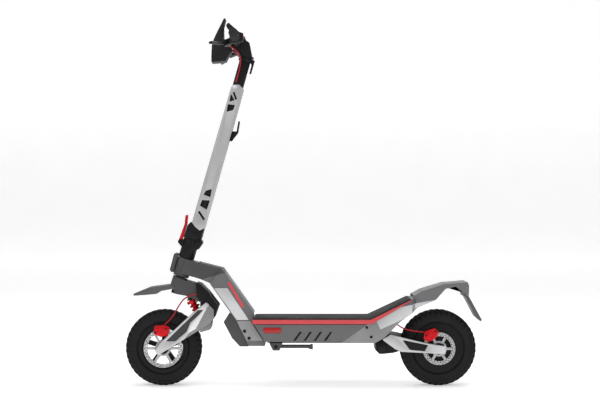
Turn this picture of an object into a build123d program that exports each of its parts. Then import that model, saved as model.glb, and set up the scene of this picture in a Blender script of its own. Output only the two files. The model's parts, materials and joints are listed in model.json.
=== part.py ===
"""Electric kick scooter with a folding stem, leading-arm front and torsion-arm rear suspension.

Millimetres. +Z is up, -X is towards the front wheel, +Y is the rider's right-hand side.
The origin is on the ground, midway between the front of the tyre and the tip of the mud flap.
Every side view below is drawn in X and Z. What turns with the fork is drawn in the steering
axis's own coordinates: u behind the axis and w along it, from the foot of the head tube.
"""

from build123d import *
from math import atan2, cos, hypot, radians, sin, tan
import os

os.makedirs("parts", exist_ok=True)

# ---- Driving dimensions -------------------------------------------------------------------
WHEELBASE = 996.0
TYRE_RADIUS = 137.5
TYRE_WIDTH = 80.0
TREAD_FLAT = 54.0
RIM_RADIUS = 90.0
RIM_WIDTH = 60.0
RIM_OPENING = 68.0
AXLE_RADIUS = 7.5
FRONT_ROTOR_RADIUS = 70.0
REAR_ROTOR_RADIUS = 59.0
ROTOR_THICKNESS = 2.0

STEER_TILT = 16.75
HEAD_TUBE_LENGTH = 67.0
HEAD_TUBE_RADIUS = 29.0
STEERER_RADIUS = 17.0
COLUMN_RADIUS = 27.0
FOLD_HEIGHT = 137.0
FOLD_SETBACK = 30.0
STEM_TOP_RADIUS = 20.5
STEM_LENGTH = 680.0
PLATE_THICKNESS = 4.0

BAR_WIDTH = 660.0
BAR_RADIUS = 11.1
GRIP_RADIUS = 16.0
GRIP_LENGTH = 122.0

DECK_WIDTH = 196.0
DECK_BOTTOM = 163.0
DECK_TOP = 246.0
LID_THICKNESS = 2.0
MAT_THICKNESS = 2.0
TRIM_HEIGHT = 15.0
TRIM_THICKNESS = 3.0
WALL = 4.0
KICK_RISE = 70.0
KICK_RUN = 147.0

ARM_GAP = 52.0
ARM_THICKNESS = 20.0
REAR_ARM_GAP = 56.0
REAR_ARM_THICKNESS = 10.0
COVER_THICKNESS = 10.0
HOSE_RADIUS = 2.5

GAP = 0.5
RUNNING = 0.05
BLIND_DEPTH = 5.0
SEAT = 0.02

# ---- Places that follow from them ---------------------------------------------------------
FRONT_AXLE = (-509.0, TYRE_RADIUS)
REAR_AXLE = (FRONT_AXLE[0] + WHEELBASE, TYRE_RADIUS)
HEAD = (FRONT_AXLE[0] + 60.0, FRONT_AXLE[1] + 258.5)
TILT_SIN = sin(radians(STEER_TILT))
TILT_COS = cos(radians(STEER_TILT))
FRONT_PIVOT = (FRONT_AXLE[0] + 161.0, FRONT_AXLE[1] + 120.5)
REAR_PIVOT = (REAR_AXLE[0] - 206.0, REAR_AXLE[1] + 4.5)
FOLD = (FOLD_SETBACK, FOLD_HEIGHT)
LATCH = (-38.0, FOLD_HEIGHT - 17.0)
BAR = (-42.3, FOLD_HEIGHT + STEM_LENGTH + 50.0)
DECK_HALF = DECK_WIDTH / 2
BAR_HALF = BAR_WIDTH / 2
LEG_FOOT = (HEAD[0] + 310.0, HEAD[1] - 225.0)
DECK_START = HEAD[0] + 264.5
KICK_START = REAR_AXLE[0] - 249.0
KICK_SLOPE = atan2(KICK_RISE, KICK_RUN)
SHOCK_TOP = (FRONT_PIVOT[0] - 64.0, FRONT_PIVOT[1] + 54.0)
SHOCK_FOOT = (FRONT_PIVOT[0] - 8.0, FRONT_PIVOT[1] - 44.0)
STEM_TILT = STEER_TILT - 1.05
STEM_FOOT = (FOLD[0] - 20.0, FOLD[1] + 60.0)


# ---- Planes and small helpers -------------------------------------------------------------
def keep(builder, label):
    """Names a finished piece and writes its file."""
    builder.part.label = label
    export_step(builder.part, f"parts/{label}.step")


def side(y=0.0):
    """A plane seen from the left side: local x is X, local y is Z, and it extrudes to -Y."""
    return Plane(origin=(0, y, 0), x_dir=(1, 0, 0), z_dir=(0, -1, 0))


def steered(y=0.0):
    """A plane seen from the left side whose local x is u and local y is w."""
    return Plane(origin=(HEAD[0], y, HEAD[1]), x_dir=(TILT_COS, 0, -TILT_SIN), z_dir=(0, -1, 0))


def column(u, w, y=0.0):
    """The point u behind the steering axis and w along it."""
    return (HEAD[0] + u * TILT_COS + w * TILT_SIN, y, HEAD[1] - u * TILT_SIN + w * TILT_COS)


BAR_POINT = (column(*BAR)[0], column(*BAR)[2])
STEM_SIN = sin(radians(STEM_TILT))
STEM_COS = cos(radians(STEM_TILT))
STEM_ORIGIN = column(*STEM_FOOT)


def stemmed(y=0.0):
    """A side plane with the stem's own axis as local y and local x behind it."""
    origin = (STEM_ORIGIN[0], y, STEM_ORIGIN[2])
    return Plane(origin=origin, x_dir=(STEM_COS, 0, -STEM_SIN), z_dir=(0, -1, 0))


def stem_across(along, behind=0.0):
    """A plane across the stem's axis: local x is behind it and local y is Y."""
    x = STEM_ORIGIN[0] + behind * STEM_COS + along * STEM_SIN
    z = STEM_ORIGIN[2] - behind * STEM_SIN + along * STEM_COS
    return Plane(origin=(x, 0, z), x_dir=(STEM_COS, 0, -STEM_SIN), z_dir=(STEM_SIN, 0, STEM_COS))


def across(w):
    """A plane across the steering axis: local x is u and local y is Y."""
    return Plane(origin=column(0, w), x_dir=(TILT_COS, 0, -TILT_SIN), z_dir=(TILT_SIN, 0, TILT_COS))


def facing_front(x=0.0):
    """A plane seen from behind: local x is Y, local y is Z, and it extrudes to +X."""
    return Plane(origin=(x, 0, 0), x_dir=(0, 1, 0), z_dir=(1, 0, 0))


def hub_section(centre):
    """A half section through a wheel: local x is along the axle and local y is the radius."""
    return Plane(origin=(centre[0], 0, centre[1]), x_dir=(0, 1, 0), z_dir=(1, 0, 0))


def outline(points):
    """Fills a closed polygon in the open sketch."""
    Polygon(*points, align=None)


def slab(points, y_from, y_to, where=side, corner=0.0, mode=Mode.ADD):
    """Extrudes a side-view polygon from one Y to another in the open part."""
    with BuildSketch(where(y_to)) as shape:
        Polygon(*points, align=None)
        if corner:
            fillet(shape.vertices(), corner)
    extrude(shape.sketch, amount=y_to - y_from, mode=mode)


def disc(centre, radius, y_from, y_to, where=side, mode=Mode.ADD):
    """Extrudes a round from one Y to another in the open part."""
    with BuildSketch(where(y_to)) as shape:
        with Locations(centre):
            Circle(radius)
    extrude(shape.sketch, amount=y_to - y_from, mode=mode)


def ring(start, length, radius, bore=0.0, mode=Mode.ADD):
    """Extrudes a round or a ring along the plane's own normal in the open part."""
    with BuildSketch(start) as shape:
        Circle(radius)
        if bore:
            Circle(bore, mode=Mode.SUBTRACT)
    extrude(shape.sketch, amount=length, mode=mode)


def bar_ring(y_from, y_to, radius, bore=0.0, mode=Mode.ADD):
    """Extrudes a ring about the handlebar from one Y to another in the open part."""
    disc(BAR_POINT, radius, y_from, y_to, mode=mode)
    if bore:
        disc(BAR_POINT, bore, y_from, y_to, mode=Mode.SUBTRACT)


def from_point(origin, offsets):
    """Absolute side-view points from offsets to an origin."""
    return [(origin[0] + x, origin[1] + z) for x, z in offsets]


def from_place(origin, offsets):
    """Absolute places from offsets in X, Y and Z to a side-view origin."""
    return [(origin[0] + x, y, origin[1] + z) for x, y, z in offsets]


def kick_offset(depth):
    """Two points on a line that lies depth below the deck's sheet line and bends up the kick."""
    shift = depth * tan(KICK_SLOPE / 2)
    bend = (KICK_START + shift, DECK_TOP - depth)
    run = KICK_RUN / cos(KICK_SLOPE)
    foot = (bend[0] + run * cos(KICK_SLOPE), bend[1] + run * sin(KICK_SLOPE))
    return bend, foot


def sheet_outline(top, bottom, start):
    """A sheet between two depths that runs along the deck from start and up the kick."""
    (top_bend, top_end), (low_bend, low_end) = kick_offset(top), kick_offset(bottom)
    return [
        (start, DECK_TOP - bottom), low_bend, low_end, top_end, top_bend,
        (start, DECK_TOP - top),
    ]


def corner_radii(points):
    """The fillet at each inner corner of a route: 0.45 of the shorter run over tan(half turn)."""
    radii = []
    for before, at, after in zip(points, points[1:], points[2:]):
        first, second = Vector(*at) - Vector(*before), Vector(*after) - Vector(*at)
        turn = radians(first.get_angle(second))
        radii.append(0.45 * min(first.length, second.length) / tan(turn / 2))
    return radii


def hose(points, radius):
    """A round hose along straight runs joined by tangent arcs."""
    with BuildPart(mode=Mode.PRIVATE) as tube:
        with BuildLine() as route:
            FilletPolyline(*points, radius=corner_radii(points))
        with BuildSketch(Plane(origin=route.line @ 0, z_dir=route.line % 0)):
            Circle(radius)
        sweep(path=route.line)
    return tube


# ---- Wheels -------------------------------------------------------------------------------
def wheel_axis(centre):
    return Axis((centre[0], 0, centre[1]), (0, 1, 0))


TYRE_WALL = 8.0
TREAD_DEPTH = 12.0


def build_tyre(centre, label):
    """A tubeless tyre: flat tread, sloping shoulders and a bead on each side of the rim."""
    half, flat, bead = TYRE_WIDTH / 2, TREAD_FLAT / 2, RIM_WIDTH / 2
    outer = [
        (-bead + 1, RIM_RADIUS - 6), (-bead, RIM_RADIUS), (-half + 2, RIM_RADIUS + 9),
        (-half, RIM_RADIUS + 22), (-half + 3, TYRE_RADIUS - 12), (-flat, TYRE_RADIUS),
    ]
    inner = [
        (flat - 4, TYRE_RADIUS - TREAD_DEPTH), (half - TYRE_WALL - 3, RIM_RADIUS + 25),
        (half - TYRE_WALL, RIM_RADIUS + 16), (bead - TYRE_WALL, RIM_RADIUS - 6),
    ]
    mirrored_outer = [(-x, r) for x, r in reversed(outer)]
    mirrored_inner = [(-x, r) for x, r in reversed(inner)]
    with BuildPart() as tyre:
        with BuildSketch(hub_section(centre)):
            outline(outer + mirrored_outer + inner[::-1] + mirrored_inner[::-1])
        revolve(axis=wheel_axis(centre))
    keep(tyre, label)


def build_rotor(centre, radius, y, hub_radius, label):
    """A vented brake rotor: drilled outer ring, thin arms and a bolt flange."""
    inner = radius - BRAKE_TRACK
    with BuildPart() as rotor:
        with BuildSketch(Plane(origin=(centre[0], y, centre[1]), x_dir=(1, 0, 0), z_dir=(0, -1, 0))):
            Circle(radius)
            Circle(inner, mode=Mode.SUBTRACT)
            Circle(hub_radius)
            with PolarLocations((inner + hub_radius) / 2, ROTOR_ARMS):
                Rectangle(inner - hub_radius + 4.0, ROTOR_ARM_WIDTH)
            Circle(hub_radius - 8.0, mode=Mode.SUBTRACT)
            with PolarLocations(radius - 4.0, 28):
                Circle(1.6, mode=Mode.SUBTRACT)
            with PolarLocations(radius - 10.5, 28, start_angle=6):
                Circle(1.9, mode=Mode.SUBTRACT)
        extrude(amount=ROTOR_THICKNESS)
        with BuildSketch(side(y - ROTOR_THICKNESS)) as heads:
            with Locations(centre):
                with PolarLocations(hub_radius - 4.0, ROTOR_ARMS, start_angle=30):
                    Circle(1.5 * BOLT_RADIUS)
        extrude(heads.sketch, amount=1.6)
    keep(rotor, label)


BOLT_RADIUS = 2.0
ROTOR_ARMS = 6
ROTOR_ARM_WIDTH = 9.0
BRAKE_TRACK = 14.0
RIM_WALL = 5.0
HUB_RADIUS = 27.0
HUB_HALF = 34.0
BEARING_RADIUS = 17.5
FRONT_ROTOR_Y = -42.0
ROTOR_FLANGE = 28.0

build_tyre(FRONT_AXLE, "front_tyre")
build_tyre(REAR_AXLE, "rear_tyre")

with BuildPart() as front_rim:
    bead_half = RIM_WIDTH / 2
    with BuildSketch(hub_section(FRONT_AXLE)):
        outline([
            (-bead_half - 3, RIM_OPENING + 8), (-bead_half - 3, RIM_RADIUS + 1),
            (-bead_half, RIM_RADIUS), (-bead_half + 1, RIM_RADIUS - 6),
            (-bead_half + TYRE_WALL, RIM_RADIUS - 6), (-14, RIM_OPENING + RIM_WALL),
            (14, RIM_OPENING + RIM_WALL), (bead_half - TYRE_WALL, RIM_RADIUS - 6),
            (bead_half - 1, RIM_RADIUS - 6), (bead_half, RIM_RADIUS),
            (bead_half + 3, RIM_RADIUS + 1), (bead_half + 3, RIM_OPENING + 8),
            (14, RIM_OPENING), (-14, RIM_OPENING),
        ])
    revolve(axis=wheel_axis(FRONT_AXLE))
    with BuildSketch(side()) as hub:
        with Locations(FRONT_AXLE):
            Circle(HUB_RADIUS)
    extrude(amount=HUB_HALF, both=True)
    with BuildSketch(side()):
        with Locations(FRONT_AXLE):
            with PolarLocations((HUB_RADIUS + RIM_OPENING) / 2, 5, start_angle=18):
                Rectangle(RIM_OPENING - HUB_RADIUS + 8, 16)
    extrude(amount=9, both=True)
    disc(FRONT_AXLE, AXLE_RADIUS + RUNNING, -HUB_HALF, HUB_HALF, mode=Mode.SUBTRACT)
    with BuildSketch(side(-HUB_HALF)):
        with Locations(FRONT_AXLE):
            Circle(ROTOR_FLANGE)
            Circle(BEARING_RADIUS + 2, mode=Mode.SUBTRACT)
    extrude(amount=-FRONT_ROTOR_Y - HUB_HALF)
keep(front_rim, "front_rim")

build_rotor(FRONT_AXLE, FRONT_ROTOR_RADIUS, FRONT_ROTOR_Y, ROTOR_FLANGE, "front_rotor")

MOTOR_HALF = 44.0
MOTOR_RADIUS = 78.0
REAR_ROTOR_Y = -50.0

with BuildPart() as rear_motor:
    bead_half = RIM_WIDTH / 2
    with BuildSketch(hub_section(REAR_AXLE)):
        outline([
            (-MOTOR_HALF, AXLE_RADIUS + RUNNING), (-MOTOR_HALF, 34), (-MOTOR_HALF + 9, 42),
            (-bead_half - 4, MOTOR_RADIUS), (-bead_half - 3, RIM_RADIUS + 1),
            (-bead_half, RIM_RADIUS), (-bead_half + 1, RIM_RADIUS - 6),
            (-bead_half + TYRE_WALL, RIM_RADIUS - 6), (-14, RIM_OPENING + RIM_WALL + 4),
            (14, RIM_OPENING + RIM_WALL + 4), (bead_half - TYRE_WALL, RIM_RADIUS - 6),
            (bead_half - 1, RIM_RADIUS - 6), (bead_half, RIM_RADIUS),
            (bead_half + 3, RIM_RADIUS + 1), (bead_half + 4, MOTOR_RADIUS),
            (MOTOR_HALF - 9, 42), (MOTOR_HALF, 34), (MOTOR_HALF, AXLE_RADIUS + RUNNING),
        ])
    revolve(axis=wheel_axis(REAR_AXLE))
    with BuildSketch(side(-MOTOR_HALF)):
        with Locations(REAR_AXLE):
            Circle(ROTOR_FLANGE)
            Circle(AXLE_RADIUS + 8, mode=Mode.SUBTRACT)
    extrude(amount=-REAR_ROTOR_Y - MOTOR_HALF)
keep(rear_motor, "rear_motor")

build_rotor(REAR_AXLE, REAR_ROTOR_RADIUS, REAR_ROTOR_Y, ROTOR_FLANGE, "rear_rotor")


ARM_FACE = ARM_GAP + ARM_THICKNESS
BORE_END = ARM_FACE - BLIND_DEPTH + GAP

with BuildPart() as front_axle:
    disc(FRONT_AXLE, AXLE_RADIUS, -ARM_FACE + BLIND_DEPTH, ARM_FACE - BLIND_DEPTH)
    disc(FRONT_AXLE, 11.0, HUB_HALF + GAP, ARM_GAP)
    disc(FRONT_AXLE, 11.0, -ARM_GAP, -HUB_HALF - GAP)
    disc(SHOCK_FOOT, 4.0, -22, 22)
keep(front_axle, "front_axle")

REAR_ARM_FACE = REAR_ARM_GAP + REAR_ARM_THICKNESS
REAR_NUT_RADIUS = 11.0
REAR_NUT_HEIGHT = 5.0

with BuildPart() as rear_axle:
    disc(REAR_AXLE, AXLE_RADIUS, -REAR_ARM_FACE, REAR_ARM_FACE)
    disc(REAR_AXLE, REAR_NUT_RADIUS, REAR_ARM_FACE, REAR_ARM_FACE + REAR_NUT_HEIGHT)
    disc(REAR_AXLE, REAR_NUT_RADIUS, -REAR_ARM_FACE - REAR_NUT_HEIGHT, -REAR_ARM_FACE)
    disc(REAR_AXLE, 12.0, MOTOR_HALF + GAP, REAR_ARM_GAP)
    disc(REAR_AXLE, 12.0, -REAR_ARM_GAP, -MOTOR_HALF - GAP)
keep(rear_axle, "rear_axle")


# ---- Front suspension arms ----------------------------------------------------------------
PIVOT_RADIUS = 8.0
FRONT_ARM = from_point(FRONT_PIVOT, [
    (-3, 48), (24, 21), (24, -8), (11, -28), (-32, -54), (-175, -142), (-188, -126), (-168, -98),
    (-61, 1),
])
FRONT_INLAY = from_point(FRONT_PIVOT, [
    (-148, -92), (-113, -92), (-72, -57), (-59, -25), (-27, 4), (-11, 22), (-33, 20),
])
RECESS = 3.0

with BuildPart() as front_arms:
    for y_inner in (-ARM_FACE, ARM_GAP):
        slab(FRONT_ARM, y_inner, y_inner + ARM_THICKNESS, corner=6.0)
    slab(
        from_point(FRONT_PIVOT, [(14, -26), (10, -52), (-24, -62), (-32, -52)]),
        -ARM_GAP, ARM_GAP, corner=2.0,
    )
    disc(SHOCK_FOOT, 15.0, -10, 10, mode=Mode.SUBTRACT)
    disc(SHOCK_FOOT, 4.0, -22, 22, mode=Mode.SUBTRACT)
    disc(FRONT_PIVOT, PIVOT_RADIUS + RUNNING, -BORE_END, BORE_END, mode=Mode.SUBTRACT)
    disc(FRONT_AXLE, AXLE_RADIUS + SEAT, -BORE_END, BORE_END, mode=Mode.SUBTRACT)
    slab(FRONT_INLAY, ARM_FACE - RECESS, ARM_FACE, corner=2.0, mode=Mode.SUBTRACT)
    slab(FRONT_INLAY, -ARM_FACE, -ARM_FACE + RECESS, corner=2.0, mode=Mode.SUBTRACT)
keep(front_arms, "front_arms")


def build_caliper(centre, offsets, rotor_y, slot_radius, y_inner, y_outer, label):
    """A brake caliper that straddles its rotor, with the two pads beside the disc."""
    with BuildPart() as caliper:
        slab(from_point(centre, offsets), y_outer, y_inner, corner=5.0)
        slot_low = rotor_y - ROTOR_THICKNESS - 1.0
        slot_high = rotor_y + 1.0
        disc(centre, slot_radius, slot_low, slot_high, mode=Mode.SUBTRACT)
    keep(caliper, label)


build_caliper(
    FRONT_AXLE, [(-34, 52), (-30, 82), (8, 84), (26, 76), (18, 44), (-8, 42)],
    FRONT_ROTOR_Y, FRONT_ROTOR_RADIUS + 2, -RIM_WIDTH / 2 - 6, -ARM_GAP, "front_caliper",
)
build_caliper(
    REAR_AXLE, [(-56, 34), (-52, 62), (-16, 74), (0, 60), (-12, 38), (-36, 24)],
    REAR_ROTOR_Y, REAR_ROTOR_RADIUS + 2, -RIM_WIDTH / 2 - 12, -REAR_ARM_GAP, "rear_caliper",
)

# ---- Front shock --------------------------------------------------------------------------
SHOCK_RUN = hypot(SHOCK_FOOT[0] - SHOCK_TOP[0], SHOCK_FOOT[1] - SHOCK_TOP[1])
SHOCK_X = (SHOCK_FOOT[0] - SHOCK_TOP[0]) / SHOCK_RUN
SHOCK_Z = (SHOCK_FOOT[1] - SHOCK_TOP[1]) / SHOCK_RUN
SPRING_RADIUS = 16.0
SPRING_WIRE = 3.0
SPRING_TURNS = 5.0
BUSH_PLAY = 0.5


def shock_plane(along):
    """A plane across the shock, whose normal runs from its top eye to its foot eye."""
    origin = (SHOCK_TOP[0] + SHOCK_X * along, 0, SHOCK_TOP[1] + SHOCK_Z * along)
    return Plane(origin=origin, x_dir=(0, 1, 0), z_dir=(SHOCK_X, 0, SHOCK_Z))


BODY_END = 0.62 * SHOCK_RUN
SPRING_START = 17.0
SPRING_END = SHOCK_RUN - 24.0

with BuildPart() as shock_body:
    disc(SHOCK_TOP, 8.0, -8, 8)
    ring(shock_plane(4.0), SPRING_START - 4.0 - SPRING_WIRE, 20.0)
    ring(shock_plane(SPRING_START - SPRING_WIRE), BODY_END - SPRING_START + SPRING_WIRE, 10.0)
    ring(shock_plane(24.0), SHOCK_RUN, 5.0 + RUNNING, mode=Mode.SUBTRACT)
    disc(SHOCK_TOP, 4.0 + RUNNING, -9, 9, mode=Mode.SUBTRACT)
keep(shock_body, "shock_body")

with BuildPart() as shock_rod:
    disc(SHOCK_FOOT, 8.0, -8, 8)
    ring(shock_plane(SPRING_END + SPRING_WIRE), 6.0, 20.0)
    ring(shock_plane(34.0), SHOCK_RUN - 34.0, 5.0)
    disc(SHOCK_FOOT, 4.0 + BUSH_PLAY, -9, 9, mode=Mode.SUBTRACT)
keep(shock_rod, "shock_rod")

with BuildPart() as shock_spring:
    with BuildLine() as coil:
        Helix(
            (SPRING_END - SPRING_START) / SPRING_TURNS, SPRING_END - SPRING_START, SPRING_RADIUS,
            center=shock_plane(SPRING_START).origin, direction=(SHOCK_X, 0, SHOCK_Z),
        )
    with BuildSketch(Plane(origin=coil.line @ 0, z_dir=coil.line % 0)):
        Circle(SPRING_WIRE)
    sweep(path=coil.line, is_frenet=True)
keep(shock_spring, "shock_spring")

# ---- Fork: crown, steerer, column, fender -------------------------------------------------
BOSS_RADIUS = 26.0
YOKE_HALF = 49.0
CHEEK_INNER = 24.0
CROWN = [(-24, -8), (-24, -36), (4, -64), (56, -58), (100, -68), (112, -40), (92, -8)]
CHEEK = [(96, -36), (116, -24), (165, -60), (163, -104), (111, -108), (98, -66)]
CROWN_HALF = 40.0

with BuildPart() as fork_crown:
    slab(CROWN, -CROWN_HALF, CROWN_HALF, where=steered, corner=5.0)
    ring(across(-36.0), 32.0, HEAD_TUBE_RADIUS - 2.0)
    slab(
        [(44, -50), (76, -50), (70, -82), (50, -82)], -14, 14, where=steered, corner=4.0,
    )
    disc(SHOCK_TOP, 12.0, -8.5, 8.5, mode=Mode.SUBTRACT)
    ring(shock_plane(0.0), 40.0, 21.0, mode=Mode.SUBTRACT)
    disc(SHOCK_TOP, 4.0, -20, 20, mode=Mode.SUBTRACT)
    ring(across(-70.0), 80.0, STEERER_RADIUS, mode=Mode.SUBTRACT)
    slab([(64, -4), (64, 0), (170, 0), (170, -110), (96, -110), (96, -62), (80, -50)], -50, 50,
         where=steered, mode=Mode.SUBTRACT)
keep(fork_crown, "fork_crown")

with BuildPart() as fork_yoke:
    slab(
        [(64, -4), (79, -4), (116, -24), (128, -34), (112, -62), (96, -62), (80, -50)],
        -YOKE_HALF, YOKE_HALF, where=steered,
    )
    for y_inner in (-YOKE_HALF, CHEEK_INNER):
        slab(CHEEK, y_inner, y_inner + YOKE_HALF - CHEEK_INNER, where=steered)
        disc(FRONT_PIVOT, BOSS_RADIUS, y_inner, y_inner + YOKE_HALF - CHEEK_INNER)
    disc(FRONT_PIVOT, PIVOT_RADIUS, -YOKE_HALF, YOKE_HALF, mode=Mode.SUBTRACT)
    ring(shock_plane(0.0), SHOCK_RUN, 21.5, mode=Mode.SUBTRACT)
keep(fork_yoke, "fork_yoke")

COLUMN_TOP = FOLD_HEIGHT + 1.5
LUG_RADIUS = 12.0
LUG_INNER = 13.0
LUG_OUTER = 26.0

with BuildPart() as column_base:
    ring(across(-66.0), 176.0, STEERER_RADIUS, 13.0)
    ring(across(HEAD_TUBE_LENGTH + 2.5), COLUMN_TOP - HEAD_TUBE_LENGTH - 2.5, COLUMN_RADIUS + 2.0)
    for y_inner in (-LUG_OUTER, LUG_INNER):
        disc(FOLD, LUG_RADIUS, y_inner, y_inner + LUG_OUTER - LUG_INNER, where=steered)
        slab(
            [(10, 96), (34, 112), (41, 132), (18, 138)],
            y_inner, y_inner + LUG_OUTER - LUG_INNER, where=steered,
        )
    for y_inner in (-15, 8):
        slab(
            [(-24, 104), (-30, 106), (LATCH[0] - 7, 116), (LATCH[0] - 7, 126), (-24, 134)],
            y_inner, y_inner + 7, where=steered, corner=2.0,
        )
    disc(FOLD, LUG_RADIUS + 1.5, -LUG_INNER, LUG_INNER, where=steered, mode=Mode.SUBTRACT)
    disc(FOLD, 6.0, -LUG_OUTER, LUG_OUTER, where=steered, mode=Mode.SUBTRACT)
    disc(LATCH, 3.0, -16, 16, where=steered, mode=Mode.SUBTRACT)
    ring(across(-70.0), 180.0, 13.0, mode=Mode.SUBTRACT)
keep(column_base, "steering_column")

with BuildPart() as fork_pins:
    disc(FRONT_PIVOT, PIVOT_RADIUS, -ARM_FACE + BLIND_DEPTH, ARM_FACE - BLIND_DEPTH)
    disc(SHOCK_TOP, 4.0, -19, 19)
    disc(FOLD, 6.0, -LUG_OUTER - 2, LUG_OUTER + 2, where=steered)
    disc(FOLD, 9.0, LUG_OUTER, LUG_OUTER + 3, where=steered)
    disc(FOLD, 9.0, -LUG_OUTER - 3, -LUG_OUTER, where=steered)
    disc(LATCH, 3.0, -17, 17, where=steered)
keep(fork_pins, "fork_pins")

with BuildPart() as latch_lever:
    disc(LATCH, 7.0, -7.5, 7.5, where=steered)
    slab(
        [(-45, 120), (-31.5, 124), (-31.5, 188), (-38, 222), (-47, 218), (-41, 186), (-43, 150)],
        -7.5, 7.5, where=steered, corner=1.5,
    )
    disc(LATCH, 3.0 + RUNNING, -8, 8, where=steered, mode=Mode.SUBTRACT)
keep(latch_lever, "latch_lever")

FRONT_FENDER = from_point(FRONT_AXLE, [
    (-111, 194.5), (-52, 218.5), (30, 229.5), (44, 216), (-5, 207.5), (-23, 196.5), (-109, 188),
])

with BuildPart() as front_fender:
    slab(FRONT_FENDER, -TYRE_WIDTH / 2 - 6, TYRE_WIDTH / 2 + 6)
    with BuildSketch(Plane.XY.offset(FRONT_AXLE[1] + 150)) as fender_plan:
        with Locations((FRONT_AXLE[0], 0)):
            Polygon(
                (-112, -18), (-60, -42), (46, -42), (46, 42), (-60, 42), (-112, 18), align=None,
            )
    extrude(fender_plan.sketch, amount=120, mode=Mode.INTERSECT)
    slab(CROWN, -CROWN_HALF, CROWN_HALF, where=steered, mode=Mode.SUBTRACT)
    ring(across(-36.0), 32.0, HEAD_TUBE_RADIUS - 2.0, mode=Mode.SUBTRACT)
    ring(across(-70.0), 80.0, STEERER_RADIUS, mode=Mode.SUBTRACT)
keep(front_fender, "front_fender")

# ---- Frame: head tube, neck and leg -------------------------------------------------------
CUP_RADIUS = 23.0
LEG_HALF = 54.0
NECK_HALF = 37.0
NECK = from_point(HEAD, [(22, 64), (153, 31), (185, -14), (110, -24), (73, -8.5), (2, 12)])
LEG = from_point(HEAD, [
    (110, -24), (204.5, -158), (250, -249), (309, -249), (310, -225), (264.5, -150),
    (268, -130), (153, 31),
])
LEG_HOLLOW = from_point(HEAD, [
    (134, -14), (150, 8), (250, -140), (248, -160), (290, -228), (258, -238), (214, -150),
])
CABLE_WINDOW = from_point(HEAD, [(250, -190), (300, -190), (300, -214), (250, -214)])

with BuildPart() as neck:
    ring(across(0.0), HEAD_TUBE_LENGTH, HEAD_TUBE_RADIUS)
    slab(NECK, -NECK_HALF, NECK_HALF)
    slab(LEG, -LEG_HALF, LEG_HALF)
    slab(LEG_HOLLOW, -LEG_HALF + 8, LEG_HALF - 8, mode=Mode.SUBTRACT)
    slab(CABLE_WINDOW, -24, 24, mode=Mode.SUBTRACT)
    ring(across(-12.0), 110.0, CUP_RADIUS + SEAT, mode=Mode.SUBTRACT)
    ring(across(-40.0), 40.0, 60.0, mode=Mode.SUBTRACT)
    ring(across(HEAD_TUBE_LENGTH), 60.0, 60.0, mode=Mode.SUBTRACT)
keep(neck, "neck")

with BuildPart() as headset:
    for w_low in (1.0, HEAD_TUBE_LENGTH - 13.0):
        ring(across(w_low), 12.0, CUP_RADIUS, STEERER_RADIUS + RUNNING)
keep(headset, "headset_bearings")

LEG_COVER = from_point(HEAD, [(125, -40), (174, -40), (252, -155), (207.5, -155)])
FOOT_COVER = from_point(HEAD, [(207, -158), (243.5, -229), (303, -229), (256, -158)])

with BuildPart() as leg_covers:
    for y_inner in (-LEG_HALF - 4, LEG_HALF):
        slab(LEG_COVER, y_inner, y_inner + 4, corner=3.0)
        slab(FOOT_COVER, y_inner, y_inner + 4, corner=3.0)
keep(leg_covers, "leg_covers")

BUMPER = from_point(HEAD, [
    (175.5, -137), (159, -163), (190, -221), (218, -251), (249.9, -251), (203.9, -158),
    (190, -137),
])

HEAD_COVER = [(-30, 6), (-30, 77), (-41, 77), (-46, 70), (-44, 12), (-38, 6)]

with BuildPart() as front_covers:
    slab(HEAD_COVER, -17, 17, where=steered)
    slab([(-32, 20), (-25, 20), (-25, 60), (-32, 60)], -8, 8, where=steered)
    ring(across(0.0), HEAD_TUBE_LENGTH, HEAD_TUBE_RADIUS, mode=Mode.SUBTRACT)
    ring(across(HEAD_TUBE_LENGTH), 30.0, HEAD_TUBE_RADIUS + 1.0, mode=Mode.SUBTRACT)
    slab(BUMPER, -LEG_HALF + 4, LEG_HALF - 4)
    slab(LEG, -LEG_HALF, LEG_HALF, mode=Mode.SUBTRACT)
keep(front_covers, "front_covers")

# ---- Frame: deck --------------------------------------------------------------------------
CHASSIS_HALF = DECK_HALF - 6.0
CHASSIS_LOW = DECK_BOTTOM + WALL
CHASSIS_REAR = KICK_START + 12.0
SLANT = (DECK_TOP - LEG_FOOT[1]) / (LEG_FOOT[0] - DECK_START)
FOOT_X = DECK_START + (DECK_TOP - CHASSIS_LOW) / SLANT
CHASSIS = [
    (DECK_START, DECK_TOP), (FOOT_X, CHASSIS_LOW), (CHASSIS_REAR, CHASSIS_LOW),
    (CHASSIS_REAR, DECK_TOP - 2), (KICK_START, DECK_TOP),
]
CAVITY = [
    (DECK_START + 12, DECK_TOP + 1), (FOOT_X + 10, CHASSIS_LOW - 1),
    (CHASSIS_REAR - WALL, CHASSIS_LOW - 1), (CHASSIS_REAR - WALL, DECK_TOP - 12),
    (KICK_START - 14, DECK_TOP - 12), (KICK_START - 18, DECK_TOP + 1),
]

with BuildPart() as chassis:
    slab(CHASSIS, -CHASSIS_HALF, CHASSIS_HALF)
    slab(CAVITY, -CHASSIS_HALF + WALL, CHASSIS_HALF - WALL, mode=Mode.SUBTRACT)
    slab(CABLE_WINDOW, -24, 24, mode=Mode.SUBTRACT)
    with BuildSketch(Plane.XY.offset(DECK_BOTTOM)) as floor:
        with Locations(((FOOT_X + 6 + KICK_START - 110) / 2, 0)):
            RectangleRounded(KICK_START - 110 - FOOT_X - 6, 2 * CHASSIS_HALF - 4, 6)
        with Locations(((KICK_START - 100 + CHASSIS_REAR) / 2 - 8, 0)):
            Rectangle(CHASSIS_REAR - KICK_START + 112, 2 * CHASSIS_HALF - 6)
    extrude(floor.sketch, amount=WALL)
keep(chassis, "deck_chassis")

MAT_START = DECK_START + 4.0

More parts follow.
